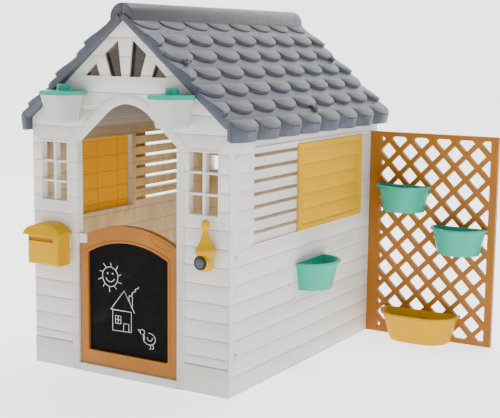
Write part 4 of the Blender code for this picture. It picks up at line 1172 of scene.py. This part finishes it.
    def build(self) -> None:
        """Make every piece of the panel."""
        pieces = [self.row(i) for i in range(self.rows)]
        pieces.append(self.skirt())
        half_gap = 0.0003
        plate_loop = [(half_gap, ROOF_PEAK - half_gap * TAN), (self.eave * COS, ROOF_PEAK - self.eave * SIN),
                      (self.eave * COS + 0.008, ROOF_PEAK - self.eave * SIN + 0.010),
                      (half_gap, ROOF_PEAK + 0.010 / COS)]
        plate = prism(f"roof_{self.side}_plate", plate_loop, Plane.XZ, self.start + 0.004, self.end - 0.004)
        pieces.append(plate)
        centre, radius = (0.0, 1.261), 0.049
        crown = arc(centre, radius, 0.0, math.pi / 2, 20)[:-1]
        ridge_loop = [(0.0006, ROOF_PEAK + 0.001), (radius, ROOF_PEAK + 0.001 - radius * TAN), *crown,
                      (0.0006, 1.310)]
        pieces.append(prism(f"roof_{self.side}_ridge", ridge_loop, Plane.XZ, -0.022, DEPTH + 0.022, 0.003))
        for y, way, label in ((self.start, 1, "front"), (self.end, -1, "back")):
            ends = sorted((y - 0.0012 * way, y + 0.012 * way))
            pieces.append(self.barge(f"roof_{self.side}_barge_{label}", (ends[0], ends[1])))
        turned = self.side == "left"
        for index, item in enumerate(pieces):
            stands_for = "" if index else f"roof_panel_{self.side}"
            place(item, self.palette.roof, replaces=stands_for, turned=turned)
        for index in range(len(self.bolts)):
            for item, plastic in zip(self.cup(index), (self.palette.roof, self.palette.steel)):
                place(item, plastic, turned=turned)
        labels = ("low_front", "low_middle", "low_back", "high_front", "high_back")
        dress([f"roof_bolt_{self.side}_{label}" for label in labels], self.palette.steel, 0.0008)


# ---- door -------------------------------------------------------------------------------------------
@dataclass
class Door:
    """Half door with its chalkboard, drawings, bead and moulded handle."""

    palette: Palette
    face: float = 0.001
    board: float = 0.0093

    def opening(self, grow: float) -> Loop:
        """Outline of the opening in front of the board, with rounded lower corners.

        Args:
            grow: how much larger it is all round.
        Returns:
            The outline.
        """
        half, low, turn = 0.172, 0.084, 0.007
        loop: Loop = []
        for side, start in ((-1, math.pi), (1, math.pi * 1.5)):
            loop += arc((side * (half - turn), low + turn), turn + grow, start, start + math.pi / 2, 4)
        for index in range(31):
            x = half - 2 * half * index / 30
            loop.append((x * (half + grow) / half, arch_height(x, 0.486, 0.440, half) + grow))
        return loop

    def sun(self) -> list[Loop]:
        """A smiling sun.

        Returns:
            Its strokes.
        """
        cx, cz, radius = -0.081, 0.358, 0.034
        lines = [[(cx + radius * math.cos(t) * (1 + 0.03 * math.sin(3 * t)), cz + 1.04 * radius * math.sin(t))
                  for t in angles(0.15, 0.15 + 2 * math.pi, 30)]]
        for k in range(10):
            angle = 2 * math.pi * (k + 0.3) / 10
            near, far = radius + 0.003, radius + 0.016 + 0.004 * (k % 2)
            lines.append([(cx + near * math.cos(angle), cz + near * math.sin(angle)),
                          (cx + far * math.cos(angle + 0.08), cz + far * math.sin(angle + 0.08))])
        lines.append(arc((cx, cz + 0.002), 0.020, math.pi * 1.13, math.pi * 1.87, 12))
        lines += [arc((cx + s * 0.011, cz + 0.012), 0.0022, 0, 2 * math.pi, 8) for s in (-1, 1)]
        return lines

    def house(self) -> list[Loop]:
        """A small house with smoke.

        Returns:
            Its strokes.
        """
        lines = [[(0.0, 0.0), (0.082, 0.002), (0.083, 0.075), (0.001, 0.074), (0.0, 0.0)],
                 [(-0.007, 0.076), (0.052, 0.148), (0.097, 0.073)], [(-0.007, 0.076), (0.083, 0.075)],
                 [(0.048, 0.0), (0.049, 0.030), (0.072, 0.030), (0.071, 0.001)],
                 [(0.073, 0.114), (0.074, 0.134), (0.088, 0.131), (0.087, 0.091)],
                 rectangle((0.013, 0.027), (0.037, 0.055)) + [(0.013, 0.027)],
                 [(0.025, 0.027), (0.025, 0.055)], [(0.013, 0.041), (0.037, 0.041)],
                 [(0.081 + 0.0019 * k + 0.0042 * math.sin(k * 0.9), 0.136 + 0.0019 * k) for k in range(19)]]
        return [[(a - 0.072, b + 0.166) for a, b in line] for line in lines]

    def bird(self) -> list[Loop]:
        """A small bird.

        Returns:
            Its strokes.
        """
        body = [(0.026 * math.cos(t), 0.021 * math.sin(t)) for t in angles(0.80 * math.pi, 2.55 * math.pi, 18)]
        head = arc((-0.030, 0.021), 0.0095, -0.55 * math.pi, 1.3 * math.pi, 14)
        neck = [(-0.026, 0.012), (-0.020, 0.005), (-0.022, -0.006)]
        beak = [(-0.038, 0.026), (-0.050, 0.028), (-0.040, 0.019)]
        wing = arc((0.002, 0.004), 0.011, math.pi * 0.95, math.pi * 2.05, 8)
        legs = [[(0.004, -0.021), (0.006, -0.034), (0.0, -0.037)],
                [(0.014, -0.018), (0.018, -0.031), (0.012, -0.035)]]
        return [[(a + 0.088, b + 0.156) for a, b in line] for line in (body, head, neck, beak, wing, *legs)]

    def build(self) -> None:
        """Make every piece of the door."""
        dress(["door_frame"], self.palette.brown, 0.0022)
        dress(["door_chalkboard"], self.palette.board)
        inner, outer = self.opening(0.0), self.opening(0.009)
        bead = band("door_bead", outer, inner, Plane.XZ, self.face - 0.0022, self.face + 0.0076, 0.0020)
        place(bead, self.palette.brown, "door")
        upper = [(x, arch_height(x, 0.546, 0.487, 0.2105) - 0.011) for x in (0.094, 0.115, 0.140, 0.165, 0.194)]
        lower = [(0.186, upper[-1][1] - 0.010), (0.160, upper[3][1] - 0.020), (0.130, upper[2][1] - 0.024),
                 (0.106, upper[1][1] - 0.014)]
        loop = [Vector((x, self.face, z)) for x, z in upper + lower + upper[:1]]
        place(strokes("door_handle_outline", [loop], 0.0017), self.palette.brown, "door")
        drawings = self.sun() + self.house() + self.bird()
        lines = [[Vector((x, self.board - CHALK_PROUD, z)) for x, z in line] for line in drawings]
        place(strokes("chalk_drawings", lines, 0.0009), self.palette.chalk, "door")


# ---- fittings on the front ---------------------------------------------------------------------------
@dataclass
class Fittings:
    """Shutters, letterbox, bell and lanterns."""

    palette: Palette

    def shutter(self, side: str) -> None:
        """Raised boards of a shutter.

        Args:
            side: left or right.
        """
        node, body = f"{side}_shutter", f"{side}_shutter_body"
        dress([node], self.palette.shutter, 0.0014)
        low = 0.528
        front = HALF + 0.0083
        for index in range(5):
            high = low + 0.0548
            board = rectangle((0.481, low + 0.0008), (0.962, high - 0.0008))
            label = f"{side}_shutter_board_{index + 1}"
            item = prism(label, board, Plane.YZ, front - 0.001, front + 0.0016, 0.001)
            place(item, self.palette.shutter, body, turned=side == "left")
            low = high

    def letterbox(self) -> None:
        """Letterbox with rounded edges, a slot and a hollow inside."""
        low, high, out, side = 0.385, 0.493, -0.070, 0.071
        shape = prism_bmesh(rectangle((-side, low), (side, high)), Plane.XZ, out, -SEATED)
        rounded = [e for e in shape.edges if all(v.co.y < -0.01 for v in e.verts)
                   and sum(v.co.z for v in e.verts) < high + low + 0.01]
        round_edges(shape, rounded, 0.011, 6)
        bmesh.ops.translate(shape, vec=(BOX_X, 0.0, 0.0), verts=shape.verts)
        body = make_object("letterbox_shell", shape)
        room = rectangle((BOX_X - side + 0.005, low + 0.006), (BOX_X + side - 0.005, 0.6))
        boolean(body, prism("room", room, Plane.XZ, out + 0.011, -0.005))
        slot = rectangle((-0.386, 0.471), (-0.274, 0.485))
        boolean(body, prism("slot", slot, Plane.XZ, -0.09, out + 0.0055))
        place(body, self.palette.yellow, replaces="letterbox_body")
        # painted shade: a dark amber plate at the slot's back stands for the shade in it
        shade = rectangle((-0.3858, 0.4712), (-0.2742, 0.4848))
        place(prism("letter_slot_shade", shade, Plane.XZ, out + 0.0045, out + 0.0054), self.palette.amber)
        plate = rectangle((BOX_X - side + 0.006, high - 0.01), (BOX_X + side - 0.006, 0.513))
        place(prism("letterbox_back", plate, Plane.XZ, -0.0036, -0.0006, 0.0008), self.palette.yellow)
        lid = boolean(self.lid("letterbox_lid_shell", 0.0, 0.0024), self.lid("room", 0.003, 0.0))
        place(lid, self.palette.yellow, "letterbox_lid_body", "letterbox_lid")

    def lid(self, name: str, shrink: float, soft: float) -> Item:
        """Domed lid whose front leans back.

        Args:
            name: the object's name.
            shrink: how much smaller it is all round.
            soft: rounding of its edges.
        Returns:
            The object.
        """
        half, foot, top = 0.081 - shrink, 0.4933, 0.5370 - shrink
        shoulder = foot + 0.008 - shrink
        low = foot - (0.01 if shrink else 0.0)
        loop = [(-half, low), (half, low)]
        rise = top - shoulder
        loop += [(half * math.cos(t), shoulder + rise * math.sin(t)) for t in angles(0.0, math.pi, 28)]
        front = -0.083 + shrink
        shape = prism_bmesh([(x + BOX_X, z) for x, z in loop], Plane.XZ, front, -0.0053 - shrink)
        for vert in shape.verts:
            if vert.co.y < -0.04 and vert.co.z > foot:
                vert.co.z = foot + (vert.co.z - foot) * 0.90
                vert.co.y += (vert.co.z - foot) * 0.45
        if soft:
            bevel_sharp(shape, soft, 3, 40)
        return make_object(name, shape)

    def bell(self) -> None:
        """Bell with a turned body, and a ringed button."""
        profile = [(0.0, 0.6050), (0.0055, 0.6045), (0.0100, 0.6022), (0.0132, 0.5975), (0.0146, 0.5910),
                   (0.0136, 0.5840), (0.0110, 0.5780), (0.0090, 0.5735), (0.0086, 0.5700), (0.0105, 0.5610),
                   (0.0135, 0.5505), (0.0172, 0.5380), (0.0218, 0.5260), (0.0275, 0.5165), (0.0328, 0.5110),
                   (0.0346, 0.5080), (0.0348, 0.4950), (0.0338, 0.4922), (0.0310, 0.4910), (0.0265, 0.4905),
                   (0.0262, 0.4885), (0.0262, 0.4490), (0.0248, 0.4425), (0.0205, 0.4370), (0.0140, 0.4335),
                   (0.0, 0.4320)]
        bell = lathe("bell_body", profile, (BELL_X, BELL_Y))
        boolean(bell, prism("wall_side", rectangle((0.2, 0.3), (0.5, 0.8)), Plane.XZ, -SEATED, 0.1))
        front, bore, wall = (Vector((BELL_X, y, BUTTON_Z)) for y in (-0.08, -0.0405, 0.0))
        boolean(bell, rod("bore", front, bore, 0.0236, 48))
        place(bell, self.palette.yellow, replaces="doorbell_housing")
        ends = [Vector((BELL_X, y, BUTTON_Z)) for y in (BELL_Y, -0.060)]
        collar = rod("bell_collar", *ends, 0.0262, 64, 0.0012)
        boolean(collar, rod("bore", front, bore, 0.0236, 48))
        boolean(collar, rod("core", bore, wall, 0.0200, 48))
        place(collar, self.palette.yellow)
        stem = rectangle((0.3312, 0.440), (0.3568, 0.500))
        place(prism("bell_stem", stem, Plane.XZ, BELL_Y, -SEATED, 0.0015), self.palette.yellow)
        dress(["doorbell_button"], self.palette.black, 0.0018)
        dress(["doorbell_sound_module"], self.palette.slate)
        face = Vector((BELL_X, -0.0648, BUTTON_Z))
        place(rod("bell_button_disc", face, face + Vector((0.0, -0.0014, 0.0)), 0.0168, 48, 0.0006),
              self.palette.slate, "bell_button_body")
        circle = arc((BELL_X, BUTTON_Z), 0.0118, 0.0, 2 * math.pi, 40)
        ring = [Vector((x, face.y - 0.0014, z)) for x, z in circle]
        place(strokes("bell_button_ring", [ring], 0.0007), self.palette.slate, "bell_button_body")

    def lantern(self, side: str, x: float) -> None:
        """Knob on the cap and ribs on the shell of a lantern.

        Args:
            side: left or right.
            x: its middle.
        """
        dress([f"lantern_body_{side}"], self.palette.frosted, 0.0018)
        dress([f"lantern_cap_{side}"], self.palette.turquoise, 0.0022)
        top = 1.0113
        profile = [(0.0, top + 0.0225), (0.017, top + 0.0225), (0.0205, top + 0.021), (0.0225, top + 0.0175),
                   (0.0235, top + 0.003), (0.0265, top + 0.0008), (0.0300, top - 0.0010)]
        place(lathe(f"lantern_knob_{side}", profile, (x, LANTERN_Y), 48), self.palette.turquoise)
        lines = []
        for corner in range(3, 7):
            angle = math.radians(60 * corner)
            if math.sin(angle) > 0.1:
                continue
            foot = Vector((x + 0.0580 * math.cos(angle), LANTERN_Y + 0.0580 * math.sin(angle), 0.9035))
            head = Vector((x + 0.0825 * math.cos(angle), LANTERN_Y + 0.0825 * math.sin(angle), 0.9965))
            lines.append([foot, head])
        place(strokes(f"lantern_ribs_{side}", lines, 0.0016), self.palette.frosted)

    def build(self) -> None:
        """Make every fitting."""
        for side in ("left", "right"):
            self.shutter(side)
        self.letterbox()
        self.bell()
        self.lantern("left", -LANTERN_X)
        self.lantern("right", LANTERN_X)
        dress(["door_hinge_bracket"], self.palette.wall, 0.002)


# ---- trellis and planters -----------------------------------------------------------------------------
@dataclass
class Garden:
    """Trellis, planters, trough and the bolts."""

    palette: Palette
    radius: float = 0.106
    taper: float = 0.80

    def outline(self, radius: float, straight: float, reach: float, scale: float, back: float) -> Loop:
        """Half-round plan, flat at the back.

        Args:
            radius: of the rounded ends.
            straight: length of the straight middle.
            reach: straight depth of the sides.
            scale: how much smaller the ring is.
            back: y of the flat side.
        Returns:
            The ring's points.
        """
        steps = 24
        right = arc((straight / 2, -reach), radius, 0.0, -math.pi / 2, steps)
        left = arc((-straight / 2, -reach), radius, -math.pi / 2, -math.pi, steps)
        ring = right + (left if straight else left[1:])
        if reach:
            ring = [(ring[0][0], 0.0), *ring, (ring[-1][0], 0.0)]
        return [(x * scale, min(back, y * scale)) for x, y in ring]

    def pot(self, name: str, where: Matrix, plastic: Plastic, straight: float = 0.0, reach: float = 0.0,
            height: float = 0.105) -> None:
        """Half-round pot with a rolled lip.

        Args:
            name: the frame piece it stands for.
            where: moves it from its own rim to its place.
            plastic: what it is made of.
            straight: length of the straight middle.
            reach: straight depth of the sides.
            height: rim to floor.
        """
        lip, wall, back = 0.0085, 0.003, -0.0004
        floor = -height
        outside, inside = self.radius, self.radius - wall
        rings = [(outside, self.taper, floor, back), (outside, 0.992, -0.010, back),
                 (outside + lip, 1.0, -0.0085, back), (outside + lip, 1.0, -0.0005, back),
                 (outside + lip - 0.0012, 1.0, 0.0, back), (inside + 0.001, 1.0, 0.0, back - wall),
                 (inside, 1.0, -0.001, back - wall), (inside, self.taper, floor + wall, back - wall)]
        shape = bmesh.new()
        loops = [[shape.verts.new((x, y, z)) for x, y in self.outline(radius, straight, reach, scale, flat)]
                 for radius, scale, z, flat in rings]
        bridge(shape, loops)
        shape.faces.new(loops[0])
        shape.faces.new(loops[-1])
        bmesh.ops.recalc_face_normals(shape, faces=shape.faces)
        bevel_sharp(shape, 0.0009, 2, 40)
        bmesh.ops.transform(shape, matrix=where, verts=shape.verts)
        place(make_object(f"{name}_shell", shape), plastic, replaces=name)
        boss = rod("boss", Vector((0, -0.0032, -0.020)), Vector((0, -0.0045, -0.020)), 0.017, 32, 0.0006)
        boss.data.transform(where)
        boss.name = f"{name}_boss"
        place(boss, plastic)

    def build(self) -> None:
        """Make the planters and dress the trellis and the bolts."""
        palette = self.palette
        dress(["trellis_panel"], palette.brown, 0.0012)
        at = Matrix.Translation
        base = Vector((TRELLIS_X, TRELLIS_Y, 0.0))
        self.pot("trellis_planter_upper", at(base + Vector((0.1567, 0, 0.621))), palette.turquoise)
        self.pot("trellis_planter_lower", at(base + Vector((0.3937, 0, 0.470))), palette.turquoise)
        trough = at(base + Vector((0.2497, 0, 0.1153)))
        self.pot("trellis_trough", trough, palette.yellow, straight=0.095, reach=0.032, height=0.115)
        wall_place = at(Vector((HALF, 0.5705, 0.386))) @ Matrix.Rotation(math.pi / 2, 4, "Z")
        self.pot("wall_planter", wall_place, palette.turquoise)
        levels = ("low", "middle", "high")
        for corner in ("front_right", "back_right", "front_left", "back_left"):
            dress([f"corner_bolt_{corner}_{level}" for level in levels], palette.wall, 0.0009)
        dress([f"trellis_bolt_{level}" for level in levels], palette.brown)
        dress([f"planter_bolt_{label}" for label in ("upper", "lower", "wall")], palette.turquoise, 0.0008)
        dress(["planter_bolt_trough"], palette.yellow, 0.0008)


# ---- studio -----------------------------------------------------------------------------------------
@dataclass
class Studio:
    """Pale floor, soft light and the camera."""

    palette: Palette
    eye: Vector = field(default_factory=lambda: Vector((2.2876, -3.0318, 1.1860)) + HOUSE_TO_FRAME)
    yaw: float = math.radians(30.5936)
    dip: float = math.radians(8.6396)
    roll: float = math.radians(0.5976)
    lens: float = 79.564

    def floor(self) -> None:
        """A wide sheet of studio paper on the ground."""
        sweep = [(y, z) for y, z in arc((5.0, 3.0), 3.0, -math.pi / 2, 0.0, 16)]
        profile = [(-40.0, 0.0), *sweep, (8.0, 14.0)]
        shape = bmesh.new()
        rows = [[shape.verts.new((x, y, z - 0.0006)) for y, z in profile] for x in (-40.0, 40.0)]
        for i in range(len(profile) - 1):
            shape.faces.new((rows[0][i], rows[1][i], rows[1][i + 1], rows[0][i + 1]))
        turn = Matrix.Rotation(self.yaw, 4, "Z")
        bmesh.ops.transform(shape, matrix=turn, verts=shape.verts)
        item = make_object("studio_floor", shape)
        item.data.materials.append(self.palette.paper.material)

    def light(self, name: str, place_at: Vector, size: float, power: float, colour: tuple) -> None:
        """One soft lamp that looks at the house.

        Args:
            name: the lamp's name.
            place_at: where it is.
            size: its width, in metres.
            power: in watts.
            colour: its colour.
        """
        data = bpy.data.lights.new(name, "AREA")
        data.size = size
        data.energy = power
        data.color = colour
        lamp = bpy.data.objects.new(name, data)
        lamp.location = place_at
        aim = Vector((0, 0, 0.6)) - place_at
        lamp.rotation_euler = aim.to_track_quat("-Z", "Y").to_euler()
        bpy.context.scene.collection.objects.link(lamp)

    def camera(self) -> None:
        """Camera with the fitted view that eye, yaw, dip, roll and lens give."""
        cy, sy, cp, sp = math.cos(self.yaw), math.sin(self.yaw), math.cos(self.dip), math.sin(self.dip)
        forward = Vector((-sy * cp, cy * cp, -sp))
        right = Vector((cy, sy, 0.0))
        up = right.cross(forward)
        level = right * math.cos(self.roll) + up * math.sin(self.roll)
        upright = -right * math.sin(self.roll) + up * math.cos(self.roll)
        data = bpy.data.cameras.new("camera")
        data.sensor_width = 36.0
        data.lens = self.lens
        data.clip_end = 100.0
        camera = bpy.data.objects.new("camera", data)
        turn = Matrix((level, upright, -forward)).transposed().to_4x4()
        camera.matrix_world = Matrix.Translation(self.eye) @ turn
        bpy.context.scene.collection.objects.link(camera)
        bpy.context.scene.camera = camera

    def build(self) -> None:
        """Make the studio."""
        self.floor()
        world = bpy.data.worlds.new("studio")
        world.use_nodes = True
        world.node_tree.nodes["Background"].inputs[0].default_value = (1.0, 1.0, 1.0, 1.0)
        world.node_tree.nodes["Background"].inputs[1].default_value = 0.36
        bpy.context.scene.world = world
        self.light("key", Vector((-3.2, -4.0, 4.6)), 3.0, 92.0, (1.0, 0.98, 0.95))
        self.light("fill", Vector((4.6, -2.6, 3.0)), 3.0, 92.0, (0.95, 0.98, 1.0))
        self.light("top", Vector((0.4, 1.4, 5.2)), 1.5, 150.0, (1.0, 1.0, 1.0))
        inner = bpy.data.lights.new("inner", "POINT")
        inner.energy = 6.0
        inner.shadow_soft_size = 0.22
        inner.color = (1.0, 0.95, 0.86)
        bulb = bpy.data.objects.new("inner", inner)
        bulb.location = Vector((0.05, 0.50, 0.50)) + HOUSE_TO_FRAME
        bpy.context.scene.collection.objects.link(bulb)
        self.camera()


def main() -> None:
    """Build the playhouse and the studio."""
    logging.basicConfig(level=logging.INFO, format="%(message)s")
    palette = Palette()
    GableWall("front", palette, True).build()
    GableWall("back", palette, False).build()
    SideWall("right", palette, True).build()
    SideWall("left", palette, False).build()
    RoofPanel(palette, "right").build()
    RoofPanel(palette, "left").build()
    Door(palette).build()
    Fittings(palette).build()
    Garden(palette).build()
    Studio(palette).build()


if __name__ == "__main__":
    main()
